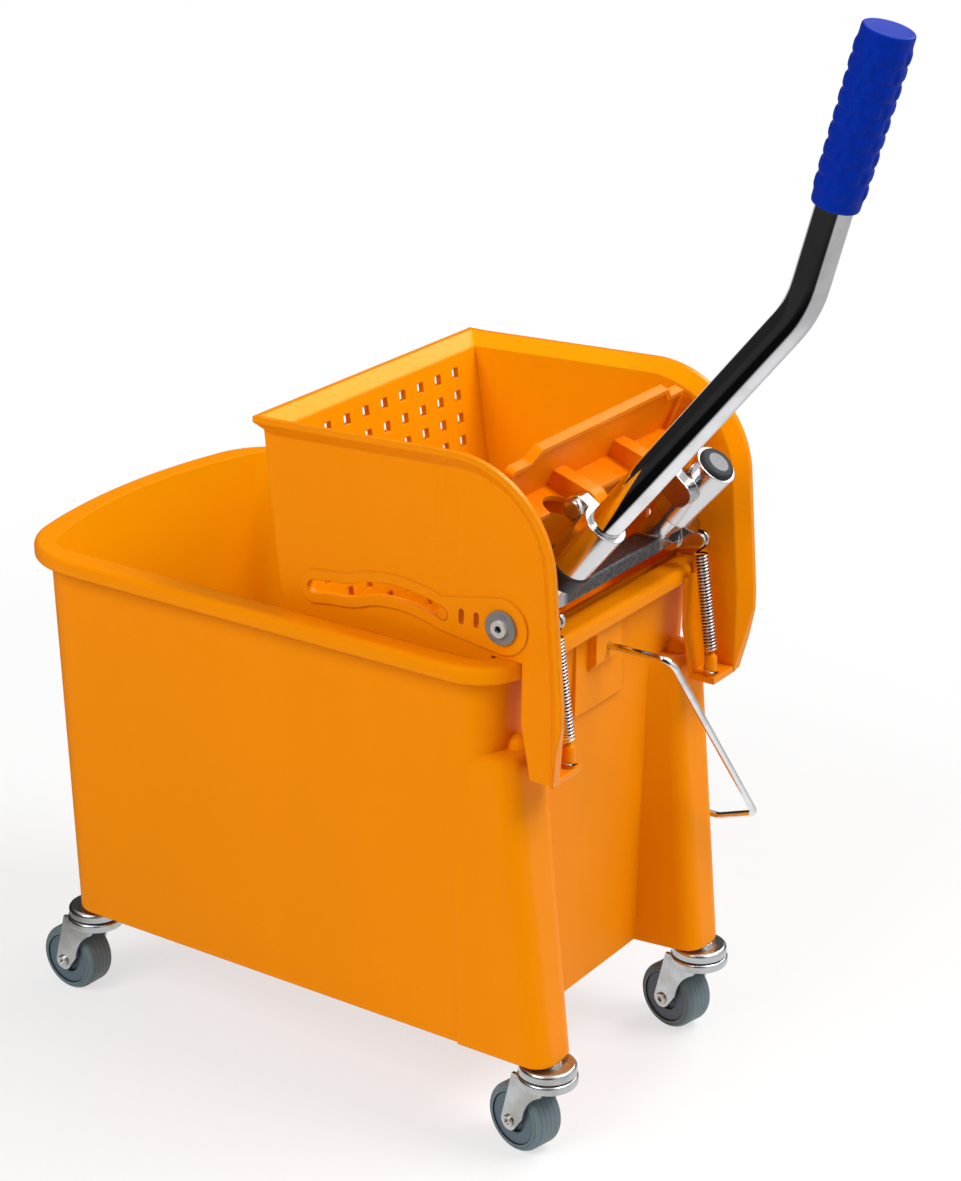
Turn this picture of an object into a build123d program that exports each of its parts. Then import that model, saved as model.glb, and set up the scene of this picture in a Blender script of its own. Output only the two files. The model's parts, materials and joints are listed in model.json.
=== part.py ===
import os
from math import cos, pi, radians, sin, sqrt, tan

from build123d import *

os.makedirs("parts", exist_ok=True)

# Millimetres. X runs along the bucket to the wringer end, Y across it, Z up from the floor.
# Lengths along X are counted from the middle of the wheelbase, which lies behind the middle of the whole.
bucket_x = -73.262

# Clearances shared by the fits.
running_fit = 0.05
body_gap = 0.35
slot_play = 0.5

# Tub: the foot and the top just under the rim.
foot_z = 76.0
rim_z = 364.0
rim_height = 12.0
rim_overhang = 14.0
rim_round = 4.5
rim_skin = 4.0
rim_groove = 6.0
band_drop = 4.0
band_step = 1.2
wall = 3.5
floor_thickness = 4.0
foot_half = 119.0
top_half = 131.5
foot_back = 161.0
top_back = 170.0
foot_nose = 214.5
top_nose = 231.5
foot_shoulder = 204.5
top_shoulder = 205.5
back_round = 22.0
foot_nose_round = 20.0
top_nose_round = 30.0
rim_nose_round = 62.0

# Corner posts over the wringer-end casters.
post_top = 298.0
post_foot_x = 208.5
post_top_x = 183.0
post_root_x = 140.0
post_foot_in = 80.0
post_top_in = 84.0
post_foot_out = 121.0
post_top_out = 128.0
post_corner = 14.0
post_dome = 9.0
post_foot_flank = 6.0
post_top_flank = 15.0
post_wall = 4.0
post_hollow_top = 262.0
bump_r = 8.5
bump_out = 4.0
bump_y = 100.0

# Caster places and sockets.
caster_back_x = 200.0
caster_nose_x = -198.0
caster_y = 101.5
socket_r = 8.4
collar_r = 9.5
collar_drop = 3.0
socket_top = 94.0
pad_r = 10.8
pad_drop = 0.8

# Bail and its bosses.
bail_z = 335.5
bail_r = 2.5
bail_back_x = 226.0
bail_nose_x = 257.0
bail_reach = 206.5
bail_dip = 23.2
bail_shoulder = 37.0
bail_bend = 9.0
bail_lean = 51.6
boss_half = 16.0
boss_depth = 8.5
boss_low = 326.0
boss_slope = 10.0
bail_hole_depth = 7.0
panel_half = 31.0
panel_low = 290.0
panel_rise = 1.5

# Wringer basket.
plate_half = 117.0
plate_wall = 4.0
basket_low = 310.0
mouth_front = -8.0
mouth_z = 483.0
front_slope = 0.151
front_wall = 4.0
cheek_front = 11.0
cheek_slope = 0.109
top_rise = 0.0446
back_edge_x = 211.0
back_edge_top_x = 198.5
back_edge_z = 345.0
plate_corner = 66.0
leg_low = 284.5
leg_in = 192.0
leg_taper_z = 322.0
leg_out = 211.5
notch_out_gap = 0.6
notch_in_gap = 5.0
flange_in = 98.0
flange_low_in = 86.0
flange_wall = 2.5
flange_top = 372.0
flange_low_top = 358.0
lip_out = 13.0
lip_up = 9.0
lip_wall = 4.0
lip_in = 0.5
lip_root = 5.0
lip_end_z = 285.5
lip_taper_z = 330.0
rear_x = 160.0
rear_top = 362.0
hole = 7.0
hole_pitch_y = 21.4
hole_pitch_z = 16.3
hole_top_z = 470.3
hole_columns = 9
hole_rows = 10
floor_hole_pitch = 24.0
floor_hole_columns = 8
floor_hole_rows = 5

# Crank axle, plate hinge and guide pin in the rest pose, as x and z.
axle = (170.0, 386.0)
hinge = (183.0, 449.5)
guide = (124.0, 384.5)
crank_turn = 54.0
plate_share = -0.25
guide_r = 4.2
slot_end = (21.0, 380.0)
slot_border = 6.8
slot_pad = 1.5
pivot_pad_r = 19.0
vent_x = 139.0
vent_pitch = 11.5
vent_half = 5.5
vent_width = 4.0

# Springs and their pegs.
spring_y = 92.0
peg_x = 205.4
peg_r = 4.2
peg_height = 12.0
shelf_wall = 4.5
shelf_in = 86.0
lug_x = 193.0
lug_z = 386.5
lug_r = 5.5
lug_step = 1.5
lug_half = 4.0
spring_turns = 24
spring_wire = 0.75
spring_coil = 3.9
spring_tail = 3.0
spring_lead = 5.0

# Crank casting and handle.
lean = 51.0
socket_x = 215.4
socket_z = 450.7
socket_y = 70.0
tube_r = 11.5
tube_wall = 1.5
socket_wall = 3.45
bore_depth = 36.5
tube_play = 0.5
socket_length = 40.0
far_socket_length = 50.0
neck_r = 10.0
bush_length = 13.0
bush_wall = 1.2
bar_width = 21.0
bar_height = 10.5
bar_rise = 2.75
bar_round = 2.0
hub_r = 11.0
hub_length = 28.0
ear_in = 44.0
ear_out = 54.0
ear_r = 9.0
pin_r = 4.0
pin_head_r = 7.5
pin_head_height = 5.0
pin_show = 2.0
knuckle_width = 13.0
knuckle_r = 10.0
bolt_r = 5.0
bolt_head_r = 5.7
bolt_head_height = 2.4
bolt_reach = 18.0
bolt_socket_r = 2.6
washer_r = 11.4
washer_wall = 2.0
plug_dome = 3.0
plug_depth = 16.0
plug_step = 1.9
upper_lean = 75.2
handle_bend_x = 346.0
handle_bend_z = 612.2
handle_bend_r = 75.0
grip_start = 66.3
grip_length = 108.2
grip_low_r = 15.0
grip_flare = 0.65
grip_nub = 0.7
nub_share = 0.6
grip_nub_rows = 9
grip_nub_columns = 10
grip_plain = 14.0
grip_cap = 6.0
grip_edge = 1.5
grip_foot_round = 2.5

# Press plate.
press_low = (104.0, 342.0)
press_lean = 22.0
press_height = 166.0
press_half = 106.0
press_sheet = 4.0
press_edge = 7.0
press_edge_wall = 4.0
press_shoulder = 78.0
press_shoulder_drop = 8.0
press_shelf_v = 121.0
press_shelf_wall = 4.0
press_shelf_depth = 24.0
press_corner = 4.0
press_shelf_round = 10.0
press_rib_wall = 3.0
press_rib_depth = 4.0
press_rib_in = 20.0
press_rib_out = 80.0
knuckle_spread = 14.0
guide_boss_r = 8.5
guide_boss_length = 12.0
arch_r = 12.5
arch_y = 56.0

# Casters.
wheel_r = 25.0
wheel_half = 12.2
hub_wheel_r = 19.0
tyre_round = 5.0
tyre_groove_r = 22.5
tyre_groove = 0.8
trail = 20.5
fork_gap = 1.6
fork_wall = 2.4
fork_top_z = 65.0
fork_ring_r = 21.0
fork_ring_height = 7.0
fork_leg_front = 13.0
fork_leg_back = 18.0
fork_hollow_r = 30.0
fork_hollow_x = 22.0
fork_hollow_z = 28.0
fork_tip_r = 7.0
race_gap = 1.2
race_r = 20.0
stem_r = 5.5
stem_top = 88.0
rivet_r = 8.5
rivet_height = 2.5
axle_r = 3.0
axle_head_r = 4.5
axle_head = 1.8
axle_bore_r = 2.0
axle_bore = 1.5
hub_step = 1.0
hub_recess = 4.0
hub_recess_r = 10.5
hub_boss_r = 6.0
swivel_back = -12.0
swivel_nose_near = -2.4
swivel_nose_far = -8.0


def level(z):
    return Plane(origin=(bucket_x, 0, z))


def side(y):
    return Plane(origin=(bucket_x, y, 0), x_dir=(1, 0, 0), z_dir=(0, -1, 0))


def across(x):
    return Plane(origin=(bucket_x + x, 0, 0), x_dir=(0, 1, 0), z_dir=(1, 0, 0))


def turned(point, centre, angle):
    dx = point[0] - centre[0]
    dz = point[1] - centre[1]
    c = cos(radians(angle))
    s = sin(radians(angle))
    return (centre[0] + c * dx - s * dz, centre[1] + s * dx + c * dz)


rim_low = rim_z - rim_height


def graded(z, foot, top):
    return foot + (top - foot) * (z - foot_z) / (rim_low - foot_z)


def tub_outline(z, inset, nose_round=None):
    half = graded(z, foot_half, top_half) - inset
    back = graded(z, foot_back, top_back) - inset
    nose = graded(z, foot_nose, top_nose) - inset
    shoulder = graded(z, foot_shoulder, top_shoulder) - inset
    with BuildSketch(level(z)) as shape:
        with BuildLine():
            Polyline((-shoulder, -half), (back, -half), (back, half), (-shoulder, half))
            ThreePointArc((-shoulder, half), (-nose, 0), (-shoulder, -half))
        make_face()
        fillet(shape.vertices().group_by(Axis.X)[-1], back_round - inset)
        corner = nose_round or graded(z, foot_nose_round, top_nose_round) - inset
        fillet(shape.vertices().group_by(Axis.X)[0], corner)
    return shape.sketch.face()


def back_wall(z):
    return graded(z, foot_back, top_back)


def post_sides(z):
    span = (z - foot_z) / (post_top - foot_z)
    front = post_foot_x + (post_top_x - post_foot_x) * span
    inner = post_foot_in + (post_top_in - post_foot_in) * span
    outer = post_foot_out + (post_top_out - post_foot_out) * span
    flank = post_foot_flank + (post_top_flank - post_foot_flank) * span
    return front, inner, outer, flank


def post_inside(z):
    front, inner, outer, flank = post_sides(z)
    back = back_wall(z)
    with BuildSketch(level(z)) as shape:
        with BuildLine():
            Polyline((post_root_x, 0), (post_root_x, inner - flank), (back, inner - flank),
                     (2 * front - back, inner + flank), (2 * front - back, 0), close=True)
        make_face()
    return shape.sketch.face()


def post_hollow(z):
    front, inner, outer, flank = post_sides(z)
    root = back_wall(z) + post_wall
    depth = front - post_wall - root
    with BuildSketch(level(z)) as shape:
        with Locations((root + depth / 2, (inner + outer) / 2)):
            Rectangle(depth, outer - inner - 2 * post_wall)
        fillet(shape.vertices().group_by(Axis.X)[-1], min(post_corner - post_wall, 0.45 * depth))
    return shape.sketch.face()


# Corner post: flat in front and outside, with a twisted inner flank, round corners and a round top.
with BuildPart() as post:
    with BuildSketch(side(0)):
        with BuildLine():
            Polyline((post_root_x, foot_z), (post_foot_x, foot_z), (post_top_x, post_top),
                     (post_root_x, post_top), close=True)
        make_face()
    extrude(amount=-post_top_out)
    with BuildSketch(across(post_root_x)):
        with BuildLine():
            Polyline((0, foot_z), (post_foot_out, foot_z), (post_top_out, post_top),
                     (0, post_top), close=True)
        make_face()
    extrude(amount=post_foot_x - post_root_x, mode=Mode.INTERSECT)
    loft([post_inside(foot_z), post_inside(post_top)], ruled=True, mode=Mode.SUBTRACT)
    front_edges = post.edges().filter_by(lambda e: e.bounding_box().min.X > bucket_x + post_top_x - 1)
    fillet(front_edges.filter_by(lambda e: e.bounding_box().size.Z > post_top - foot_z - 1), post_corner)
    post_rim = post.faces().sort_by(Axis.Z)[-1].edges()
    fillet(post_rim.filter_by(lambda e: e.center().X > bucket_x + post_root_x + 1), post_dome)

# Outer form of the tub and its posts.
with BuildPart() as tub_form:
    loft([tub_outline(foot_z, 0), tub_outline(rim_z - rim_round, 0)])
    add(post.part)
    add(mirror(post.part, about=Plane.XZ, mode=Mode.PRIVATE))

# Caster sockets, kept inside that form.
caster_places = [(caster_back_x, caster_y), (caster_back_x, -caster_y),
                 (caster_nose_x, caster_y), (caster_nose_x, -caster_y)]
with BuildPart() as sockets:
    with BuildSketch(level(foot_z)):
        with Locations(*caster_places):
            Circle(socket_r)
    extrude(amount=socket_top - foot_z)
    add(tub_form.part, mode=Mode.INTERSECT)

# Pads round the sockets, standing a little below the flat underside.
with BuildPart() as pads:
    extrude(tub_form.faces().sort_by(Axis.Z)[0], amount=pad_drop)
    with BuildSketch(level(foot_z)):
        with Locations(*caster_places):
            Circle(pad_r)
    extrude(amount=-pad_drop, mode=Mode.INTERSECT)

# Tub with rim, posts, caster sockets and bail bosses.
with BuildPart() as bucket:
    extrude(tub_outline(rim_low, -rim_overhang, rim_nose_round), amount=rim_height)
    fillet(bucket.edges().group_by(Axis.Z)[-1], rim_round)
    fillet(bucket.edges().group_by(Axis.Z)[0], rim_round * 0.6)
    groove_outer = tub_outline(rim_low, rim_skin - rim_overhang, rim_nose_round - rim_skin)
    groove_inner = tub_outline(rim_low, 0)
    extrude(groove_outer - groove_inner, amount=rim_groove, mode=Mode.SUBTRACT)
    add(tub_form.part)
    extrude(tub_outline(rim_low - band_drop, -band_step), amount=band_drop)
    with Locations(*[(bucket_x + back_wall(post_top) + bump_out, way * bump_y, post_top) for way in (1, -1)]):
        Sphere(bump_r)
    loft([tub_outline(foot_z + floor_thickness, wall), tub_outline(rim_z, wall)], mode=Mode.SUBTRACT)
    for way in (1, -1):
        hollow = loft([post_hollow(foot_z), post_hollow(post_hollow_top)], mode=Mode.PRIVATE)
        if way < 0:
            hollow = mirror(hollow, about=Plane.XZ, mode=Mode.PRIVATE)
        add(hollow, mode=Mode.SUBTRACT)
    add(sockets.part)
    add(pads.part)
    with BuildSketch(level(foot_z - pad_drop)):
        with Locations(*caster_places):
            Circle(stem_r + running_fit)
    extrude(amount=stem_top + running_fit + pad_drop - foot_z, mode=Mode.SUBTRACT)
    with BuildSketch(side(0)):
        with BuildLine():
            Polyline((back_wall(panel_low) - wall / 2, panel_low),
                     (back_wall(rim_low) + panel_rise, panel_low + panel_rise),
                     (back_wall(rim_low) + panel_rise, rim_low + 1),
                     (back_wall(panel_low) - wall / 2, rim_low + 1), close=True)
        make_face()
    extrude(amount=panel_half, both=True)
    boss_back = back_wall(bail_z) + boss_depth
    boss_nose = graded(bail_z, foot_nose, top_nose) + boss_depth
    boss_root = wall / 2 + boss_depth - boss_nose
    with BuildSketch(side(0)):
        with BuildLine():
            Polyline((back_wall(bail_z) - wall / 2, rim_low + 1), (boss_back, rim_low + 1),
                     (boss_back, boss_low), (back_wall(bail_z) - wall / 2, boss_low - boss_slope), close=True)
        make_face()
        with BuildLine():
            Polyline((boss_root, rim_low + 1), (-boss_nose, rim_low + 1), (-boss_nose, boss_low),
                     (boss_root, boss_low - boss_slope), close=True)
        make_face()
    extrude(amount=boss_half, both=True)
    with BuildSketch(across(boss_back)):
        with Locations((0, bail_z)):
            Circle(bail_r + running_fit)
    extrude(amount=-bail_hole_depth, mode=Mode.SUBTRACT)
    with BuildSketch(across(-boss_nose)):
        with Locations((0, bail_z)):
            Circle(bail_r + running_fit)
    extrude(amount=bail_hole_depth, mode=Mode.SUBTRACT)
bucket.part.label = "bucket"

# Wire bail, hanging at the far side.
bail_plane = Plane(origin=(bucket_x, 0, bail_z), x_dir=(1, 0, 0),
                   z_dir=(0, sin(radians(bail_lean)), cos(radians(bail_lean))))
bail_end_gap = 0.5
with BuildPart() as carry_bail:
    with BuildLine(bail_plane) as bail_line:
        FilletPolyline((boss_back - bail_hole_depth + bail_end_gap, 0), (bail_back_x, 0),
                       (bail_back_x, bail_reach), (bail_back_x - bail_shoulder, bail_reach + bail_dip),
                       (bail_shoulder - bail_nose_x, bail_reach + bail_dip), (-bail_nose_x, bail_reach),
                       (-bail_nose_x, 0), (bail_hole_depth - bail_end_gap - boss_nose, 0), radius=bail_bend)
    with BuildSketch(Plane(origin=bail_line.line @ 0, z_dir=bail_line.line % 0)):
        Circle(bail_r)
    sweep()
carry_bail.part.label = "carry_bail"


# Path of the guide pin: the hinge rides on the crank while the plate leans by its own share of the turn.
def guide_at(turn):
    at_hinge = turned(hinge, axle, turn)
    arm = (at_hinge[0] + guide[0] - hinge[0], at_hinge[1] + guide[1] - hinge[1])
    return turned(arm, at_hinge, plate_share * turn)


slot_steps = 6
slot_points = [guide_at(crank_turn * i / slot_steps) for i in range(slot_steps + 1)]
slot_points.append(((slot_points[-1][0] + slot_end[0]) / 2, (slot_points[-1][1] + slot_end[1]) / 2))
slot_points.append(slot_end)
with BuildLine() as slot_line:
    Spline(*slot_points)
slot_edge = slot_line.line.edge()
slot_half = guide_r + slot_play
slot_marks = [i / (2 * slot_steps) for i in range(2 * slot_steps + 1)]


def slot_shape(half):
    above = [slot_edge @ m + (slot_edge % m).rotate(Axis.Z, 90) * half for m in slot_marks]
    below = [slot_edge @ m - (slot_edge % m).rotate(Axis.Z, 90) * half for m in slot_marks]
    with BuildSketch() as shape:
        with BuildLine():
            Spline(*above)
            ThreePointArc(above[-1], slot_edge @ 1 + (slot_edge % 1) * half, below[-1])
            Spline(*below)
            ThreePointArc(above[0], slot_edge @ 0 - (slot_edge % 0) * half, below[0])
        make_face()
    return shape.sketch


def front_inner(z):
    return mouth_front + front_slope * (mouth_z - z)


def cheek_edge(z):
    return mouth_front - cheek_front + cheek_slope * (mouth_z - z)


def top_edge(x):
    return mouth_z + top_rise * (x - mouth_front)


notch_top = rim_z + running_fit
notch_out = top_back + rim_overhang + notch_out_gap
notch_in = back_wall(rim_low) - wall - notch_in_gap
plate_in = plate_half - plate_wall
lip_corner = (back_edge_top_x, top_edge(back_edge_top_x))
lip_shape = [(-lip_root, lip_in), (lip_in, lip_in), (lip_up, lip_out - lip_wall), (lip_up, lip_out),
             (lip_up - lip_wall, lip_out), (-lip_root, lip_wall - lip_in)]


# Mitred corner of the lip, where the side lips meet the one along the front.
def lip_mitre(way):
    mitre = Plane(origin=(bucket_x + mouth_front, way * plate_in, 0), z_dir=(1, way, 0))
    with BuildPart() as along_side:
        with BuildSketch(across(mouth_front)):
            with BuildLine():
                Polyline(*[(way * (plate_in + out), mouth_z + up) for up, out in lip_shape], close=True)
            make_face()
        extrude(amount=-lip_out)
        split(bisect_by=mitre, keep=Keep.TOP)
    with BuildPart() as along_front:
        with BuildSketch(side(way * plate_in)):
            with BuildLine():
                Polyline(*[(mouth_front - out, mouth_z + up) for up, out in lip_shape], close=True)
            make_face()
        extrude(amount=-way * lip_out)
        split(bisect_by=mitre, keep=Keep.BOTTOM)
    return along_side.part + along_front.part


lip_corners = [lip_mitre(way) for way in (-1, 1)]

# Basket: side plates with flared lips, slot borders, pivot bosses, legs and spring pegs, then the
# perforated front, the floor and the low rear wall between them.
with BuildPart() as wringer_frame:
    for way in (-1, 1):
        with BuildSketch(side(way * plate_in)) as web:
            with BuildLine():
                Polyline((cheek_edge(basket_low), basket_low), (notch_in, basket_low), (notch_in, notch_top),
                         (notch_out, notch_top), (notch_out, leg_taper_z), (leg_in, leg_low),
                         (leg_out, leg_low), (back_edge_x, back_edge_z), lip_corner,
                         (cheek_edge(mouth_z), mouth_z), close=True)
            make_face()
            fillet(web.vertices().sort_by_distance(lip_corner)[0], plate_corner)
        extrude(amount=-way * plate_wall)
        with BuildLine(side(way * plate_in)) as lip_path:
            FilletPolyline((mouth_front, mouth_z), lip_corner, (back_edge_x, back_edge_z),
                           (leg_out, lip_end_z), radius=plate_corner)
        lip_run = lip_path.line % 0
        lip_rise = lip_run.cross(Vector(0, 1, 0))
        with BuildSketch(Plane(origin=lip_path.line @ 0, x_dir=lip_rise, z_dir=lip_run * -way)):
            with BuildLine():
                Polyline(*lip_shape, close=True)
            make_face()
        sweep(path=lip_path.line)
        with BuildSketch(side(way * plate_half)):
            add(slot_shape(slot_half + slot_border))
            with BuildSketch(mode=Mode.PRIVATE) as bridge:
                with Locations(guide):
                    Circle(slot_half + slot_border)
                with Locations(axle):
                    Circle(pivot_pad_r)
                make_hull()
            add(bridge.sketch)
        extrude(amount=-way * slot_pad)
        with BuildSketch(side(way * plate_in)):
            add(slot_shape(slot_half))
            with Locations(axle):
                Circle(bolt_r + running_fit)
            with Locations((vent_x, axle[1]), (vent_x + vent_pitch, axle[1])):
                SlotOverall(2 * vent_half, vent_width, rotation=90)
        extrude(amount=-way * (plate_wall + slot_pad), mode=Mode.SUBTRACT)
        with BuildSketch(side(way * plate_in)):
            with BuildLine():
                Polyline((back_edge_x + lip_up, lip_taper_z), (leg_out, leg_low),
                         (leg_out + lip_out, leg_low), (leg_out + lip_out, lip_taper_z), close=True)
            make_face()
        extrude(amount=-way * lip_out, mode=Mode.SUBTRACT)
        with BuildSketch(side(way * shelf_in)):
            with BuildLine():
                Polyline((leg_in, leg_low), (leg_out, leg_low), (leg_out, leg_low + shelf_wall),
                         (leg_in, leg_low + shelf_wall), close=True)
            make_face()
        extrude(amount=-way * (plate_in - shelf_in + plate_wall / 2))
        for inner, top in ((flange_in, flange_top), (flange_low_in, flange_low_top)):
            with BuildSketch(side(way * inner)):
                with BuildLine():
                    Polyline((notch_out, top), (notch_out, leg_taper_z), (leg_in, leg_low),
                             (leg_in + flange_wall, leg_low), (notch_out + flange_wall, leg_taper_z),
                             (notch_out + flange_wall, top), close=True)
                make_face()
            extrude(amount=-way * (plate_in - inner + plate_wall / 2))
        with BuildSketch(level(leg_low + shelf_wall)):
            with Locations((peg_x, way * spring_y)):
                Circle(peg_r)
        extrude(amount=peg_height)
        with Locations((bucket_x + peg_x, way * spring_y, leg_low + shelf_wall + peg_height)):
            Sphere(peg_r)
    with BuildSketch(side(0)):
        with BuildLine():
            Polyline((front_inner(basket_low), basket_low), (mouth_front, mouth_z),
                     (mouth_front - front_wall, mouth_z), (front_inner(basket_low) - front_wall, basket_low),
                     close=True)
        make_face()
        with BuildLine():
            Polyline(*[(mouth_front - out, mouth_z + up) for up, out in lip_shape], close=True)
        make_face()
        with BuildLine():
            Polyline((front_inner(basket_low) - front_wall / 2, basket_low), (rear_x, basket_low),
                     (rear_x, rear_top), (rear_x - plate_wall, rear_top),
                     (rear_x - plate_wall, basket_low + plate_wall),
                     (front_inner(basket_low) - front_wall / 2, basket_low + plate_wall), close=True)
        make_face()
    extrude(amount=plate_in, both=True)
    add(lip_corners)
    with BuildSketch(across(mouth_front - front_wall)):
        with Locations((0, hole_top_z - (hole_rows - 1) * hole_pitch_z / 2)):
            with GridLocations(hole_pitch_y, hole_pitch_z, hole_columns, hole_rows):
                Rectangle(hole, hole)
    extrude(amount=front_slope * (mouth_z - basket_low) + 2 * front_wall, mode=Mode.SUBTRACT)
    with BuildSketch(level(basket_low)):
        with Locations(((front_inner(basket_low) + rear_x - plate_wall) / 2, 0)):
            with GridLocations(floor_hole_pitch, floor_hole_pitch, floor_hole_rows, floor_hole_columns):
                Rectangle(hole, hole)
    extrude(amount=plate_wall, mode=Mode.SUBTRACT)
wringer_frame.part.label = "wringer_frame"

# Press plate, seen in its own leaning plane: across, up along the plate, and back towards the crank.
press_up = (sin(radians(press_lean)), cos(radians(press_lean)))
press_out = (press_up[1], -press_up[0])


def press_point(up, out):
    return (press_low[0] + up * press_up[0] + out * press_out[0],
            press_low[1] + up * press_up[1] + out * press_out[1])


def press_plane(out):
    x, z = press_point(0, out)
    return Plane(origin=(bucket_x + x, 0, z), x_dir=(0, 1, 0), z_dir=(press_out[0], 0, press_out[1]))


shelf_x, shelf_z = press_point(press_shelf_v, 0)
shelf_plane = Plane(origin=(bucket_x + shelf_x, 0, shelf_z), x_dir=(0, 1, 0),
                    z_dir=(press_up[0], 0, press_up[1]))
knuckle_out = ear_in - body_gap
with BuildPart() as press_plate:
    with BuildSketch(press_plane(0)) as press_shape:
        with BuildLine():
            Polyline((-press_half, 0), (press_half, 0), (press_half, press_height - press_shoulder_drop),
                     (press_shoulder + press_shoulder_drop, press_height - press_shoulder_drop),
                     (press_shoulder, press_height), (-press_shoulder, press_height),
                     (-press_shoulder - press_shoulder_drop, press_height - press_shoulder_drop),
                     (-press_half, press_height - press_shoulder_drop), close=True)
        make_face()
        fillet(press_shape.vertices(), press_corner)
    extrude(amount=press_sheet)
    with BuildSketch(press_plane(0)):
        add(press_shape.sketch_local)
        offset(press_shape.sketch_local, amount=-press_edge_wall, mode=Mode.SUBTRACT)
    extrude(amount=press_edge)
    with BuildSketch(shelf_plane) as shelf:
        with Locations((0, -press_shelf_depth / 2)):
            Rectangle(2 * (press_half - press_edge_wall / 2), press_shelf_depth)
        fillet(shelf.vertices().group_by(Axis.Y)[0], press_shelf_round)
        with Locations((arch_y, -press_shelf_depth), (-arch_y, -press_shelf_depth)):
            Circle(arch_r, mode=Mode.SUBTRACT)
    extrude(amount=press_shelf_wall)
    with BuildSketch(press_plane(0)):
        with Locations((0, press_height / 2)):
            with GridLocations(2 * press_rib_in, 0, 2, 1):
                Rectangle(press_rib_wall, press_height - press_edge_wall)
            with GridLocations(2 * press_rib_out, 0, 2, 1):
                Rectangle(press_rib_wall, press_height - press_edge_wall - 2 * press_shoulder_drop)
    extrude(amount=press_rib_depth)
    for near in (-knuckle_out + knuckle_width, knuckle_out):
        with BuildSketch(side(near)):
            with Locations(hinge):
                Circle(knuckle_r)
            with Locations(press_point(press_shelf_v - knuckle_spread, press_sheet / 2),
                           press_point(press_shelf_v + knuckle_spread, press_sheet / 2)):
                Circle(press_sheet / 2)
            make_hull()
        extrude(amount=knuckle_width)
    with BuildSketch(side(0)):
        with Locations(hinge):
            Circle(pin_r + running_fit)
    extrude(amount=knuckle_out + 1, both=True, mode=Mode.SUBTRACT)
    for near in (-press_half + guide_boss_length, press_half):
        with BuildSketch(side(near)):
            with Locations(guide):
                Circle(guide_boss_r)
        extrude(amount=guide_boss_length)
    guide_tip = plate_half + slot_pad - body_gap
    for near in (-press_half, guide_tip):
        with BuildSketch(side(near)):
            with Locations(guide):
                Circle(guide_r)
        extrude(amount=guide_tip - press_half)
press_plate.part.label = "press_plate"

pin_start = knuckle_out - knuckle_width - pin_show
with BuildPart() as plate_hinge_pins:
    for way in (1, -1):
        with BuildSketch(side(way * pin_start)):
            with Locations(hinge):
                Circle(pin_r)
        extrude(amount=-way * (ear_out + body_gap - pin_start))
        with BuildSketch(side(way * (ear_out + body_gap))):
            with Locations(hinge):
                Circle(pin_head_r)
        extrude(amount=-way * pin_head_height)
    fillet(plate_hinge_pins.faces().filter_by(Axis.Y).group_by(Axis.Y)[-1].edges(), pin_head_height * 0.6)
    fillet(plate_hinge_pins.faces().filter_by(Axis.Y).group_by(Axis.Y)[0].edges(), pin_head_height * 0.6)
plate_hinge_pins.part.label = "plate_hinge_pins"

# Crank casting: cross bar, hubs, spring lugs, handle sockets and hinge ears.
arm = (cos(radians(lean)), sin(radians(lean)))
socket_outer = tube_r + running_fit + socket_wall
ear_foot = (hinge[0] - socket_x) * arm[0] + (hinge[1] - socket_z) * arm[1]
neck_end = (axle[0] - socket_x) * arm[0] + (axle[1] - socket_z) * arm[1]
hub_end = plate_in - body_gap


def on_arm(along):
    return (socket_x + along * arm[0], socket_z + along * arm[1])


def socket_plane(y, along):
    x, z = on_arm(along)
    return Plane(origin=(bucket_x + x, y, z), x_dir=(0, 1, 0), z_dir=(arm[0], 0, arm[1]))


with BuildPart() as crank:
    with BuildSketch(side(0)):
        with Locations((axle[0], axle[1] + bar_rise)):
            RectangleRounded(bar_width, bar_height, bar_round)
    extrude(amount=spring_y, both=True)
    for way in (1, -1):
        with BuildSketch(side(way * hub_end)):
            with Locations(axle):
                Circle(hub_r)
        extrude(amount=way * hub_length)
        with BuildSketch(side(way * spring_y)):
            with Locations(axle):
                Circle(hub_r)
            with Locations((lug_x, lug_z)):
                Circle(lug_r - lug_step)
            make_hull()
            with Locations((lug_x, lug_z)):
                Circle(lug_r)
        extrude(amount=lug_half, both=True)
        barrel = socket_length if way < 0 else far_socket_length
        with BuildSketch(socket_plane(way * socket_y, 0)):
            Circle(socket_outer)
        extrude(amount=-barrel)
        with BuildSketch(socket_plane(way * socket_y, -barrel)):
            Circle(neck_r)
        extrude(amount=barrel + neck_end)
        with BuildSketch(side(way * ear_in)):
            with Locations(hinge):
                Circle(ear_r)
            with Locations(on_arm(ear_foot)):
                Circle(ear_r)
            make_hull()
        extrude(amount=-way * (ear_out - ear_in))
        with BuildSketch(side(way * ear_in)):
            with Locations(on_arm(ear_foot)):
                Circle(ear_r)
        extrude(amount=-way * (socket_y - ear_in))
        with BuildSketch(socket_plane(way * socket_y, 0)):
            Circle(tube_r + running_fit)
        extrude(amount=-bore_depth, mode=Mode.SUBTRACT)
        with BuildSketch(side(way * hub_end)):
            with Locations(axle):
                Circle(bolt_r + running_fit)
        extrude(amount=way * (bolt_reach + body_gap), mode=Mode.SUBTRACT)
    with BuildSketch(side(0)):
        with Locations(hinge):
            Circle(pin_r + running_fit)
    extrude(amount=ear_out + 1, both=True, mode=Mode.SUBTRACT)
crank.part.label = "crank"

washer_start = plate_half + slot_pad + body_gap
with BuildPart() as pivot_washers:
    for way in (1, -1):
        with BuildSketch(side(way * washer_start)):
            with Locations(axle):
                Circle(washer_r)
                Circle(bolt_r + running_fit, mode=Mode.SUBTRACT)
        extrude(amount=-way * washer_wall)
pivot_washers.part.label = "pivot_washers"

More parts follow.
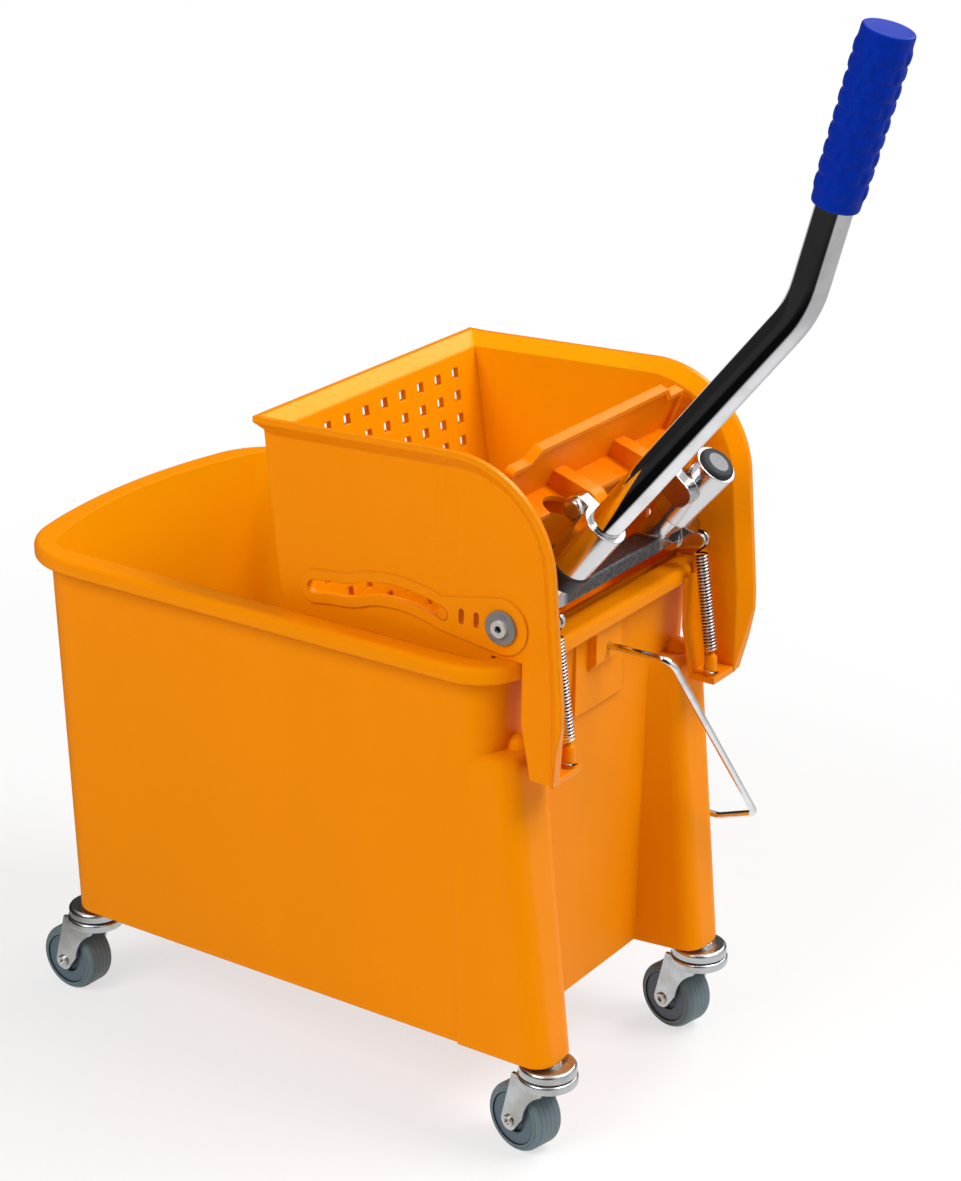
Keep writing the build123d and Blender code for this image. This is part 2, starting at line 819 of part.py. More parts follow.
bolt_seat = washer_start + washer_wall
with BuildPart() as pivot_bolts:
    for way in (1, -1):
        with BuildSketch(side(way * bolt_seat)):
            with Locations(axle):
                Circle(bolt_r)
        extrude(amount=way * (bolt_seat - hub_end + bolt_reach))
        with BuildSketch(side(way * bolt_seat)):
            with Locations(axle):
                Circle(bolt_head_r)
        extrude(amount=-way * bolt_head_height)
    for way in (1, -1):
        with BuildSketch(side(way * (bolt_seat + bolt_head_height))):
            with Locations(axle):
                RegularPolygon(bolt_socket_r, 6)
        extrude(amount=way * bolt_head_height * 0.6, mode=Mode.SUBTRACT)
pivot_bolts.part.label = "pivot_bolts"

# Handle tube, its grip, and the black ring and plug of the sockets.
upper = (cos(radians(upper_lean)), sin(radians(upper_lean)))
handle_bend_along = (handle_bend_x - socket_x) * arm[0] + (handle_bend_z - socket_z) * arm[1]
bend = on_arm(handle_bend_along)
tube_length = grip_start + grip_length - grip_cap
with BuildPart() as handle_tube:
    with BuildLine(side(-socket_y)) as tube_line:
        FilletPolyline(on_arm(tube_play - bore_depth), bend,
                       (bend[0] + tube_length * upper[0], bend[1] + tube_length * upper[1]), radius=handle_bend_r)
    with BuildSketch(Plane(origin=tube_line.line @ 0, z_dir=tube_line.line % 0)):
        Circle(tube_r)
        Circle(tube_r - tube_wall, mode=Mode.SUBTRACT)
    sweep()
handle_tube.part.label = "handle_tube"

grip_plane = Plane(origin=(bucket_x + bend[0] + grip_start * upper[0], -socket_y, bend[1] + grip_start * upper[1]),
                   x_dir=(0, 1, 0), z_dir=(upper[0], 0, upper[1]))
nub_pitch = (grip_length - 2 * grip_plain) / grip_nub_rows
nub_width = nub_share * 2 * pi * grip_low_r / grip_nub_columns
with BuildPart() as handle_grip:
    with BuildSketch(grip_plane):
        Circle(grip_low_r)
    extrude(amount=grip_length, taper=-grip_flare)
    fillet(handle_grip.faces().sort_by(Axis.Z)[-1].edges(), grip_edge)
    fillet(handle_grip.faces().sort_by(Axis.Z)[0].edges(), grip_foot_round)
    for row in range(grip_nub_rows):
        height = grip_plain + (row + (1 - nub_share) / 2) * nub_pitch
        with BuildSketch(grip_plane.offset(height)):
            with PolarLocations(grip_low_r + height * tan(radians(grip_flare)), grip_nub_columns):
                Rectangle(2 * grip_nub, nub_width)
        extrude(amount=nub_share * nub_pitch)
    with BuildSketch(grip_plane):
        Circle(tube_r + running_fit)
    extrude(amount=grip_length - grip_cap + running_fit, mode=Mode.SUBTRACT)
handle_grip.part.label = "handle_grip"

with BuildPart() as socket_bush:
    with BuildSketch(socket_plane(-socket_y, -socket_length)):
        Circle(socket_outer + bush_wall)
        Circle(neck_r + running_fit, mode=Mode.SUBTRACT)
    extrude(amount=-bush_length)
    fillet(socket_bush.edges().filter_by(GeomType.CIRCLE).sort_by(SortBy.RADIUS)[-2:], bush_wall)
socket_bush.part.label = "socket_bush"

with BuildPart() as socket_plug:
    with BuildSketch(socket_plane(socket_y, -plug_depth)):
        Circle(tube_r)
    extrude(amount=plug_depth)
    with BuildSketch(socket_plane(socket_y, 0)):
        Circle(socket_outer - plug_step)
    extrude(amount=plug_dome)
    fillet(socket_plug.faces().sort_by(Axis.Z)[-1].edges(), plug_dome * 0.9)
socket_plug.part.label = "socket_plug"


# Return spring: one wire wound from biarcs of half a turn, with straight tails on its axis.
def biarc(p0, t0, p1, t1):
    v = p1 - p0
    t = t0 + t1
    c = 2 * (1 - t0.dot(t1))
    d = (sqrt(v.dot(t) ** 2 + c * v.dot(v)) - v.dot(t)) / c
    return (p0 + t0 * d + p1 - t1 * d) * 0.5


def arc_middle(p, t, q):
    chord = (q - p).normalized()
    off = t - chord * t.dot(chord)
    bend = t.get_angle(chord)
    return (p + q) * 0.5 + off.normalized() * ((q - p).length / 2 * tan(radians(bend / 2)))


def spring_knots(length):
    rise = length - 2 * spring_tail - 2 * spring_lead
    pitch = rise / spring_turns
    slant = sqrt((2 * pi * spring_coil) ** 2 + pitch ** 2)
    flat = 2 * pi * spring_coil / slant
    climb = pitch / slant
    knots = [(Vector(0, 0, spring_tail), Vector(0, 0, 1))]
    for half in range(2 * spring_turns + 1):
        way = 1 if half % 2 == 0 else -1
        height = spring_tail + spring_lead + half * pitch / 2
        knots.append((Vector(way * spring_coil, 0, height), Vector(0, way * flat, climb)))
    knots.append((Vector(0, 0, length - spring_tail), Vector(0, 0, 1)))
    return knots


def spring_solid(y):
    foot = Vector(bucket_x + peg_x, y, leg_low + shelf_wall + peg_height)
    head = Vector(bucket_x + lug_x, y, lug_z)
    along = (head - foot).normalized()
    length = (head - foot).length - peg_r - lug_r
    frame = Plane(origin=foot + along * peg_r, x_dir=(0, 1, 0), z_dir=along)
    knots = spring_knots(length)
    with BuildPart() as spring:
        with BuildLine() as wire:
            Line(frame.from_local_coords(Vector(0, 0, 0)), frame.from_local_coords(knots[0][0]))
            for (p, t), (q, s) in zip(knots, knots[1:]):
                join = biarc(p, t, q, s)
                first = arc_middle(p, t, join)
                second = arc_middle(q, s * -1, join)
                ThreePointArc(*[frame.from_local_coords(k) for k in (p, first, join)])
                ThreePointArc(*[frame.from_local_coords(k) for k in (join, second, q)])
            Line(frame.from_local_coords(knots[-1][0]), frame.from_local_coords(Vector(0, 0, length)))
        with BuildSketch(Plane(origin=frame.origin, x_dir=(0, 1, 0), z_dir=along)):
            Circle(spring_wire)
        sweep(path=wire.line)
    points = [edge @ (step / 4) for edge in wire.line.edges() for step in range(4)]
    apart = min((p - q).length for i, p in enumerate(points) for q in points[i + 9:])
    print("spring least gap", round(apart - 2 * spring_wire, 2))
    return spring.part


return_spring_near = spring_solid(-spring_y)
return_spring_near.label = "return_spring_near"
return_spring_far = spring_solid(spring_y)
return_spring_far.label = "return_spring_far"

# One caster about its stem axis, wheel trailing towards -X; it is set out at the four corners below.
leg_inner = wheel_half + fork_gap
leg_outer = leg_inner + fork_wall
race_top = foot_z - collar_drop
race_low = fork_top_z + race_gap
with BuildPart() as caster_stem:
    with BuildSketch(Plane.XY.offset(fork_top_z - fork_wall - body_gap)):
        Circle(rivet_r)
    extrude(amount=-rivet_height)
    with BuildSketch(Plane.XY.offset(fork_top_z - fork_wall - body_gap)):
        Circle(stem_r)
    extrude(amount=stem_top - fork_top_z + fork_wall + body_gap)
    chamfer(caster_stem.edges().group_by(Axis.Z)[-1], 1)
    with BuildSketch(Plane.XY.offset(race_top + running_fit)):
        Circle(collar_r)
    extrude(amount=collar_drop - pad_drop - 2 * running_fit)

with BuildPart() as caster_race:
    with BuildSketch(Plane.XY.offset(race_low)):
        Circle(race_r)
        Circle(stem_r + running_fit, mode=Mode.SUBTRACT)
    extrude(amount=race_top - race_low)
    fillet(caster_race.edges().group_by(Axis.Z)[-1].sort_by(SortBy.RADIUS)[-1], (race_top - race_low) * 0.4)

with BuildPart() as caster_fork:
    with BuildSketch(Plane.XY.offset(fork_top_z)):
        Circle(fork_ring_r)
    extrude(amount=-fork_ring_height)
    fillet(caster_fork.edges().group_by(Axis.Z)[-1], fork_wall * 0.8)
    fillet(caster_fork.edges().group_by(Axis.Z)[0], fork_wall * 0.8)
    with BuildSketch(Plane.XY.offset(fork_top_z - fork_wall)):
        Circle(fork_ring_r - fork_wall)
    extrude(amount=-fork_ring_height, mode=Mode.SUBTRACT)
    for near in (-leg_inner, leg_outer):
        with BuildSketch(Plane(origin=(0, near, 0), x_dir=(1, 0, 0), z_dir=(0, -1, 0))):
            with Locations((-trail, wheel_r)):
                Circle(fork_tip_r)
            with Locations(((fork_leg_front - fork_leg_back) / 2, fork_top_z - fork_wall)):
                Rectangle(fork_leg_front + fork_leg_back, fork_wall)
            make_hull()
            with Locations((fork_hollow_x, fork_hollow_z)):
                Circle(fork_hollow_r, mode=Mode.SUBTRACT)
        extrude(amount=fork_wall)
    with BuildSketch(Plane.XZ):
        with Locations((-trail, wheel_r)):
            Circle(axle_r + running_fit)
    extrude(amount=leg_outer + 1, both=True, mode=Mode.SUBTRACT)
    with BuildSketch(Plane.XY.offset(fork_top_z)):
        Circle(stem_r + running_fit)
    extrude(amount=-fork_ring_height, mode=Mode.SUBTRACT)

with BuildPart() as caster_axle:
    with BuildSketch(Plane.XZ):
        with Locations((-trail, wheel_r)):
            Circle(axle_r)
    extrude(amount=leg_outer + axle_head / 2, both=True)
    for near in (-leg_outer, leg_outer + axle_head):
        with BuildSketch(Plane(origin=(0, near, 0), x_dir=(1, 0, 0), z_dir=(0, -1, 0))):
            with Locations((-trail, wheel_r)):
                Circle(axle_head_r)
        extrude(amount=axle_head)
    fillet(caster_axle.edges().group_by(Axis.Y)[0], axle_head * 0.6)
    fillet(caster_axle.edges().group_by(Axis.Y)[-1], axle_head * 0.6)
    for near in (-leg_outer - axle_head + axle_bore, leg_outer + axle_head):
        with BuildSketch(Plane(origin=(0, near, 0), x_dir=(1, 0, 0), z_dir=(0, -1, 0))):
            with Locations((-trail, wheel_r)):
                Circle(axle_bore_r)
        extrude(amount=axle_bore, mode=Mode.SUBTRACT)

with BuildPart() as caster_hub:
    with BuildSketch(Plane.XZ):
        with Locations((-trail, wheel_r)):
            Circle(hub_wheel_r)
    extrude(amount=wheel_half - hub_recess, both=True)
    with BuildSketch(Plane.XZ):
        with Locations((-trail, wheel_r)):
            Circle(hub_wheel_r)
            Circle(hub_recess_r, mode=Mode.SUBTRACT)
    extrude(amount=wheel_half - hub_step, both=True)
    with BuildSketch(Plane.XZ):
        with Locations((-trail, wheel_r)):
            Circle(hub_boss_r)
    extrude(amount=leg_inner - body_gap, both=True)
    with BuildSketch(Plane.XZ):
        with Locations((-trail, wheel_r)):
            Circle(axle_r + running_fit)
    extrude(amount=leg_inner, both=True, mode=Mode.SUBTRACT)

with BuildPart() as caster_tyre:
    with BuildSketch(Plane.XZ):
        with Locations((-trail, wheel_r)):
            Circle(wheel_r)
    extrude(amount=wheel_half, both=True)
    fillet(caster_tyre.edges().filter_by(GeomType.CIRCLE), tyre_round)
    for way in (1, -1):
        with BuildSketch(Plane(origin=(0, way * wheel_half, 0), x_dir=(1, 0, 0), z_dir=(0, -1, 0))):
            with Locations((-trail, wheel_r)):
                Circle(tyre_groove_r)
                Circle(tyre_groove_r - 2 * tyre_groove, mode=Mode.SUBTRACT)
        extrude(amount=way * tyre_groove, mode=Mode.SUBTRACT)
    with BuildSketch(Plane.XZ):
        with Locations((-trail, wheel_r)):
            Circle(hub_wheel_r + running_fit)
    extrude(amount=wheel_half, both=True, mode=Mode.SUBTRACT)

casters = []
for corner, x, y, turn in (("wringer_near", caster_back_x, -caster_y, swivel_back),
                           ("wringer_far", caster_back_x, caster_y, swivel_back),
                           ("spout_near", caster_nose_x, -caster_y, swivel_nose_near),
                           ("spout_far", caster_nose_x, caster_y, swivel_nose_far)):
    place = Location((bucket_x + x, y, 0), (0, 0, turn))
    for kind, made in (("stem", caster_stem), ("race", caster_race), ("fork", caster_fork),
                       ("axle", caster_axle), ("hub", caster_hub), ("tyre", caster_tyre)):
        piece = made.part.moved(place)
        piece.label = corner + "_" + kind
        casters.append(piece)

shown = [bucket.part, carry_bail.part, wringer_frame.part, press_plate.part, plate_hinge_pins.part,
         crank.part, pivot_bolts.part, pivot_washers.part, handle_tube.part, handle_grip.part,
         socket_bush.part, socket_plug.part, return_spring_near, return_spring_far] + casters
for piece in shown:
    export_step(piece, "parts/" + piece.label + ".step")
print("pieces", len(shown))
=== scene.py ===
import json
import math

import bpy
from mathutils import Matrix, Vector


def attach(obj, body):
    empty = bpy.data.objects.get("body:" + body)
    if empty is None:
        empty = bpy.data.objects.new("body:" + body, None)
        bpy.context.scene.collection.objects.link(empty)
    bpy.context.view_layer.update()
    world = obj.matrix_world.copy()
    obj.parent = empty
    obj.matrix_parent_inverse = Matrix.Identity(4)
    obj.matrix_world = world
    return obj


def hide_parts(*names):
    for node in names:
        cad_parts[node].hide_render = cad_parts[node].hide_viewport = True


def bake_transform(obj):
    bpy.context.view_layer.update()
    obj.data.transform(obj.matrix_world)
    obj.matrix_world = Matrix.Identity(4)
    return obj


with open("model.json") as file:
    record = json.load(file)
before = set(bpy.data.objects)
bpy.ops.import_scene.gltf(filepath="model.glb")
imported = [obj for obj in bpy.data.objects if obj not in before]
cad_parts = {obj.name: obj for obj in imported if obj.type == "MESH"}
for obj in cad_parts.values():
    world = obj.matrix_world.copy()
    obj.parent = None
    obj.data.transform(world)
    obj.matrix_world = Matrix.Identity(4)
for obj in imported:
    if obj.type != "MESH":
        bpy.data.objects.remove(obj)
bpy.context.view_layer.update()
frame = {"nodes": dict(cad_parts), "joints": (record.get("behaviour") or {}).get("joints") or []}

nodeObjects = frame["nodes"]
jointNamed = {joint["name"]: joint for joint in frame["joints"]}
axle = Vector(jointNamed["crank_press"]["pos_m"])  # middle of the crank axle
acrossAxis = Vector((0, 1, 0))
white = (1, 1, 1)
scene = bpy.context.scene
scene.view_settings.view_transform = "Standard"
print("frame:", len(nodeObjects), "nodes")


def deselectAll():
    if bpy.context.object and bpy.context.object.mode != "OBJECT":
        bpy.ops.object.mode_set(mode="OBJECT")
    bpy.ops.object.select_all(action="DESELECT")


def selectFaces(obj, wanted):
    bpy.ops.object.mode_set(mode="EDIT")
    bpy.ops.mesh.select_mode(type="FACE")
    bpy.ops.mesh.select_all(action="DESELECT")
    bpy.ops.object.mode_set(mode="OBJECT")
    for face in obj.data.polygons:
        face.select = bool(wanted(face))
    bpy.ops.object.mode_set(mode="EDIT")


# shader nodes: most take links or constants and give back the socket to go on from
def addNode(tree, kind, **settings):
    node = tree.nodes.new(kind)
    for key, value in settings.items():
        setattr(node, key, value)
    return node


def feed(tree, socket, value):
    if isinstance(value, bpy.types.NodeSocket):
        tree.links.new(value, socket)
    elif socket.type == "RGBA":
        socket.default_value = (*value, 1)
    else:
        socket.default_value = value


def objectPlace(tree):
    return addNode(tree, "ShaderNodeTexCoord").outputs["Object"]


def mathNode(tree, operation, *values, clamp=False):
    node = addNode(tree, "ShaderNodeMath", operation=operation, use_clamp=clamp)
    for socket, value in zip(node.inputs, values):
        feed(tree, socket, value)
    return node.outputs[0]


def vectorNode(tree, operation, *values):
    node = addNode(tree, "ShaderNodeVectorMath", operation=operation)
    for socket, value in zip(node.inputs, values):
        feed(tree, socket, value)
    return node.outputs["Value" if operation in ("DOT_PRODUCT", "LENGTH") else "Vector"]


def scaleNode(tree, vector, factor):
    node = addNode(tree, "ShaderNodeVectorMath", operation="SCALE")
    feed(tree, node.inputs[0], vector)
    feed(tree, node.inputs["Scale"], factor)
    return node.outputs["Vector"]


def splitNode(tree, vector):
    node = addNode(tree, "ShaderNodeSeparateXYZ")
    tree.links.new(vector, node.inputs[0])
    return node.outputs


def rampNode(tree, value, low, high, first=0.0, last=1.0):
    node = addNode(tree, "ShaderNodeMapRange", interpolation_type="SMOOTHSTEP")
    for label, number in zip(("From Min", "From Max", "To Min", "To Max"), (low, high, first, last)):
        node.inputs[label].default_value = number
    tree.links.new(value, node.inputs["Value"])
    return node.outputs[0]


def invert(tree, value):
    return mathNode(tree, "SUBTRACT", 1.0, value)


def noiseNode(tree, vector, scale, detail, rough=0.5):
    node = addNode(tree, "ShaderNodeTexNoise")
    for label, value in (("Vector", vector), ("Scale", scale), ("Detail", detail), ("Roughness", rough)):
        feed(tree, node.inputs[label], value)
    return node.outputs["Fac"]


def stretched(tree, vector, scale):
    node = addNode(tree, "ShaderNodeMapping")
    node.inputs["Scale"].default_value = scale
    tree.links.new(vector, node.inputs["Vector"])
    return node.outputs[0]


def mixColour(tree, factor, first, second):
    node = addNode(tree, "ShaderNodeMix", data_type="RGBA")
    for index, value in ((0, factor), (6, first), (7, second)):  # 6 and 7 are the two colours
        feed(tree, node.inputs[index], value)
    return node.outputs[2]


def shaderNode(tree, kind, **values):
    node = addNode(tree, kind)
    for label, value in values.items():
        feed(tree, node.inputs[label], value)
    return node.outputs[0]


def mixShader(tree, factor, first, second):
    node = addNode(tree, "ShaderNodeMixShader")
    for socket, value in zip(node.inputs, (factor, first, second)):
        tree.links.new(value, socket)
    return node.outputs[0]


# place along an axis through a point, and distance from it
def aboutAxis(tree, point, axis):
    reach = vectorNode(tree, "SUBTRACT", objectPlace(tree), point)
    along = vectorNode(tree, "DOT_PRODUCT", reach, axis)
    radius = vectorNode(tree, "LENGTH", vectorNode(tree, "CROSS_PRODUCT", reach, axis))
    return along, radius


# camera, fitted to the photograph
photoCamera = {
    "azimuth": 33.76, "elevation": 21.51, "roll": 0.53,  # degrees
    "fromAxle": (0.9282, -1.5317, 0.6913),
    "focalPixels": 2893.3, "imageHeight": 1181, "sensorHeight": 36.0, "clipStart": 0.05,
}


# direction by degrees round from the near side and up
def towards(azimuth, elevation):
    az, el = math.radians(azimuth), math.radians(elevation)
    return Vector((math.sin(az) * math.cos(el), -math.cos(az) * math.cos(el), math.sin(el)))


def placeCamera(c):
    az, roll = math.radians(c["azimuth"]), math.radians(c["roll"])
    back = towards(c["azimuth"], c["elevation"])
    right = Vector((math.cos(az), math.sin(az), 0))
    up = back.cross(right)
    side = right * math.cos(roll) + up * math.sin(roll)
    top = up * math.cos(roll) - right * math.sin(roll)
    bpy.ops.object.camera_add()
    camera = bpy.context.object
    camera.name = "photoCamera"
    turn = Matrix((side, top, back)).transposed().to_4x4()
    camera.matrix_world = Matrix.Translation(axle + Vector(c["fromAxle"])) @ turn
    camera.data.sensor_fit = "VERTICAL"
    camera.data.sensor_height = c["sensorHeight"]
    camera.data.lens = c["focalPixels"] * c["sensorHeight"] / c["imageHeight"]
    camera.data.clip_start = c["clipStart"]
    scene.camera = camera


deselectAll()
placeCamera(photoCamera)

# studio: white floor and surround; what metal mirrors is a table, a dark room, a window and a ceiling
studio = {
    "floorRadius": 14.0, "floorSides": 96, "floorTone": 0.82, "floorGlow": 0.66,
    "shadeReach": 0.55, "whiteFrom": 1.3, "ambient": 0.28, "mirrorBright": 1.0, "mirrorDark": 0.02,
    "tableAzimuth": -28.0, "tableNear": 0.06, "tableFar": 0.26,
    "tableReach": 0.3, "tableEnd": 0.8, "tableEdge": 0.52,
    "roomNear": 1.0, "roomFar": 1.7, "roomDark": 0.004, "roomGrey": 0.03,
    "underNear": 0.38, "underFar": 0.47, "underGrey": 0.85,
    "windowAzimuth": 106.0, "windowElevation": 18.0, "windowInner": 38.0, "windowOuter": 56.0,
    "ceilingFrom": 0.6, "ceilingFull": 0.85,
}


def buildFloor(s):
    bpy.ops.mesh.primitive_circle_add(vertices=s["floorSides"], radius=s["floorRadius"], fill_type="NGON")
    floor = bpy.context.object
    floor.name = "floor"
    mat = bpy.data.materials.new("floorWhite")
    mat.use_nodes = True
    tree = mat.node_tree
    tree.nodes.clear()
    path = addNode(tree, "ShaderNodeLightPath")
    place = objectPlace(tree)
    away = vectorNode(tree, "LENGTH", place)
    # seen, it keeps a soft shadow by the object and goes to plain white further out
    tone = s["floorTone"]
    matt = shaderNode(tree, "ShaderNodeBsdfDiffuse", Color=(tone, tone, tone))
    glow = shaderNode(tree, "ShaderNodeEmission", Color=white)
    whiter = rampNode(tree, away, s["shadeReach"], s["whiteFrom"], s["floorGlow"])
    seen = mixShader(tree, mathNode(tree, "MULTIPLY", path.outputs["Is Camera Ray"], whiter), matt, glow)
    # mirrored, a pale table ends short of the camera, and past it only the floor close by stays pale
    table = rampNode(tree, away, s["tableReach"], s["tableEnd"], s["mirrorBright"], s["tableEdge"])
    room = rampNode(tree, away, s["roomNear"], s["roomFar"], s["roomDark"], s["roomGrey"])
    under = rampNode(tree, away, s["underNear"], s["underFar"], s["underGrey"], 0.0)
    ahead = vectorNode(tree, "DOT_PRODUCT", place, towards(s["tableAzimuth"], 0.0))
    ends = addNode(tree, "ShaderNodeMix")
    tree.links.new(rampNode(tree, ahead, s["tableNear"], s["tableFar"]), ends.inputs["Factor"])
    tree.links.new(table, ends.inputs["A"])
    tree.links.new(mathNode(tree, "MAXIMUM", room, under), ends.inputs["B"])
    mirrored = shaderNode(tree, "ShaderNodeEmission", Color=white, Strength=ends.outputs["Result"])
    out = addNode(tree, "ShaderNodeOutputMaterial")
    tree.links.new(mixShader(tree, path.outputs["Is Glossy Ray"], seen, mirrored), out.inputs["Surface"])
    floor.data.materials.append(mat)


def buildWorld(s):
    world = bpy.data.worlds.new("studioWhite")
    scene.world = world
    world.use_nodes = True
    tree = world.node_tree
    tree.nodes.clear()
    path = addNode(tree, "ShaderNodeLightPath")
    look = addNode(tree, "ShaderNodeTexCoord").outputs["Generated"]
    # a mirrored ray sees a dark room with a white window on the right and a white ceiling
    sideways = vectorNode(tree, "DOT_PRODUCT", look, towards(s["windowAzimuth"], s["windowElevation"]))
    outer, inner = (math.cos(math.radians(s[key])) for key in ("windowOuter", "windowInner"))
    window = rampNode(tree, sideways, outer, inner, s["mirrorDark"], s["mirrorBright"])
    upward = splitNode(tree, look)["Z"]
    ceiling = rampNode(tree, upward, s["ceilingFrom"], s["ceilingFull"], 0.0, s["mirrorBright"])
    brighter = mathNode(tree, "MAXIMUM", window, ceiling)
    ambient = shaderNode(tree, "ShaderNodeBackground", Color=white, Strength=s["ambient"])
    mirrored = shaderNode(tree, "ShaderNodeBackground", Color=white, Strength=brighter)
    seen = shaderNode(tree, "ShaderNodeBackground", Color=white)
    unseen = mixShader(tree, path.outputs["Is Glossy Ray"], ambient, mirrored)
    out = addNode(tree, "ShaderNodeOutputWorld")
    tree.links.new(mixShader(tree, path.outputs["Is Camera Ray"], unseen, seen), out.inputs["Surface"])


# degrees round from the near side and up, metres from the axle, watts
lamps = {
    "frontSoft": {"azimuth": -12, "elevation": 36, "distance": 3.0, "size": 1.5, "power": 51},
    "rightSoft": {"azimuth": 110, "elevation": 54, "distance": 3.0, "size": 1.5, "power": 74},
    "backSoft": {"azimuth": 174, "elevation": 37, "distance": 3.0, "size": 1.2, "power": 30},
}


def addLamp(name, lamp):
    aim = towards(lamp["azimuth"], lamp["elevation"])
    bpy.ops.object.light_add(type="AREA", location=axle + aim * lamp["distance"])
    light = bpy.context.object
    light.name = name
    light.data.shape = "SQUARE"
    light.data.size = lamp["size"]
    light.data.energy = lamp["power"]
    light.rotation_euler = aim.to_track_quat("Z", "Y").to_euler()


deselectAll()
buildFloor(studio)
buildWorld(studio)
for lampName, lamp in lamps.items():
    addLamp(lampName, lamp)
print("studio: floor, surround and", len(lamps), "lamps")


# shared effects
def newGroup(name, inputs, outputs):
    group = bpy.data.node_groups.new(name, "ShaderNodeTree")
    for label, kind, value in inputs:
        socket = group.interface.new_socket(label, in_out="INPUT", socket_type="NodeSocket" + kind)
        socket.default_value = value
    for label, kind in outputs:
        group.interface.new_socket(label, in_out="OUTPUT", socket_type="NodeSocket" + kind)
    return group, group.nodes.new("NodeGroupInput").outputs, group.nodes.new("NodeGroupOutput").inputs


# moulded skin: faint clouds of tone, fine spark grain, flow streaks and a few hairline scuffs
# a noise is given as scale, detail and roughness; the scale of the grain comes with the material
skinForm = {
    "cloud": (7.0, 2.0), "cloudShare": 0.6,
    "streak": (1.0, 3.0, 0.55), "streakLines": (26, 26, 3.2), "streakShare": 0.4, "streakRough": 0.16,
    "scratch": (1.0, 4.0, 0.6), "levelLines": (40, 40, 700), "levelShown": (0.665, 0.72),
    "uprightLines": (520, 520, 34), "uprightShown": (0.67, 0.73),
    "patch": (15.0, 2.0), "patchShown": (0.52, 0.66),
    "scuffGain": 1.5, "scuffShare": 0.3, "scuffDepth": 0.6, "scuffRough": 0.2,
    "grain": (2.0, 0.6), "grainHeight": 0.5, "wave": (60.0, 2.0), "waveHeight": 0.9,
}


def buildMouldedSkin(f):
    tree, start, end = newGroup(
        "mouldedSkin",
        [("Color", "Color", (0.8, 0.2, 0.01, 1)), ("Cloud", "Float", 0.06), ("Grain", "Float", 1100.0),
         ("Scuffs", "Float", 0.5), ("Roughness", "Float", 0.4)],
        [("Color", "Color"), ("Roughness", "Float"), ("Height", "Float")])
    place = objectPlace(tree)
    cloud = noiseNode(tree, place, *f["cloud"])
    streak = noiseNode(tree, stretched(tree, place, f["streakLines"]), *f["streak"])
    tone = mathNode(tree, "ADD", mathNode(tree, "MULTIPLY", cloud, f["cloudShare"]),
                    mathNode(tree, "MULTIPLY", streak, f["streakShare"]))
    shift = mathNode(tree, "MULTIPLY", mathNode(tree, "SUBTRACT", tone, 0.5), start["Cloud"])
    toned = scaleNode(tree, start["Color"], mathNode(tree, "ADD", shift, 1.0))
    level = noiseNode(tree, stretched(tree, place, f["levelLines"]), *f["scratch"])
    upright = noiseNode(tree, stretched(tree, place, f["uprightLines"]), *f["scratch"])
    lines = mathNode(tree, "MAXIMUM", rampNode(tree, level, *f["levelShown"]),
                     rampNode(tree, upright, *f["uprightShown"]))
    patch = rampNode(tree, noiseNode(tree, place, *f["patch"]), *f["patchShown"])
    scuff = mathNode(tree, "MULTIPLY", mathNode(tree, "MULTIPLY", lines, patch), start["Scuffs"])
    worn = scaleNode(tree, start["Color"], f["scuffGain"])
    grain = noiseNode(tree, place, start["Grain"], *f["grain"])
    waves = noiseNode(tree, place, *f["wave"])
    height = mathNode(tree, "ADD", mathNode(tree, "MULTIPLY", grain, f["grainHeight"]),
                      mathNode(tree, "MULTIPLY", waves, f["waveHeight"]))
    height = mathNode(tree, "SUBTRACT", height, mathNode(tree, "MULTIPLY", scuff, f["scuffDepth"]))
    uneven = mathNode(tree, "MULTIPLY", mathNode(tree, "SUBTRACT", streak, 0.5), f["streakRough"])
    rough = mathNode(tree, "ADD", start["Roughness"], uneven)
    rough = mathNode(tree, "ADD", rough, mathNode(tree, "MULTIPLY", scuff, f["scuffRough"]), clamp=True)
    faint = mathNode(tree, "MULTIPLY", scuff, f["scuffShare"])
    tree.links.new(mixColour(tree, faint, toned, worn), end["Color"])
    tree.links.new(rough, end["Roughness"])
    tree.links.new(height, end["Height"])
    return tree


# edge catch: a soft mask along corners, from a rounded normal set against the true one
edgeForm = {"samples": 6, "shown": (0.01, 0.14)}


def buildEdgeCatch(f):
    tree, start, end = newGroup(
        "edgeCatch", [("Width", "Float", 0.002)], [("Edge", "Float"), ("Normal", "Vector")])
    bevel = addNode(tree, "ShaderNodeBevel", samples=f["samples"])
    tree.links.new(start["Width"], bevel.inputs["Radius"])
    geometry = addNode(tree, "ShaderNodeNewGeometry")
    same = vectorNode(tree, "DOT_PRODUCT", bevel.outputs[0], geometry.outputs["Normal"])
    tree.links.new(rampNode(tree, invert(tree, same), *f["shown"]), end["Edge"])
    tree.links.new(bevel.outputs[0], end["Normal"])
    return tree


# drawn metal: fine hairlines along one axis, with smudges in the gloss
drawnForm = {"hair": (1.0, 4.0, 0.65), "hairRough": 0.05, "smudge": (38.0, 4.0, 0.6), "smudgeMiddle": 0.45}


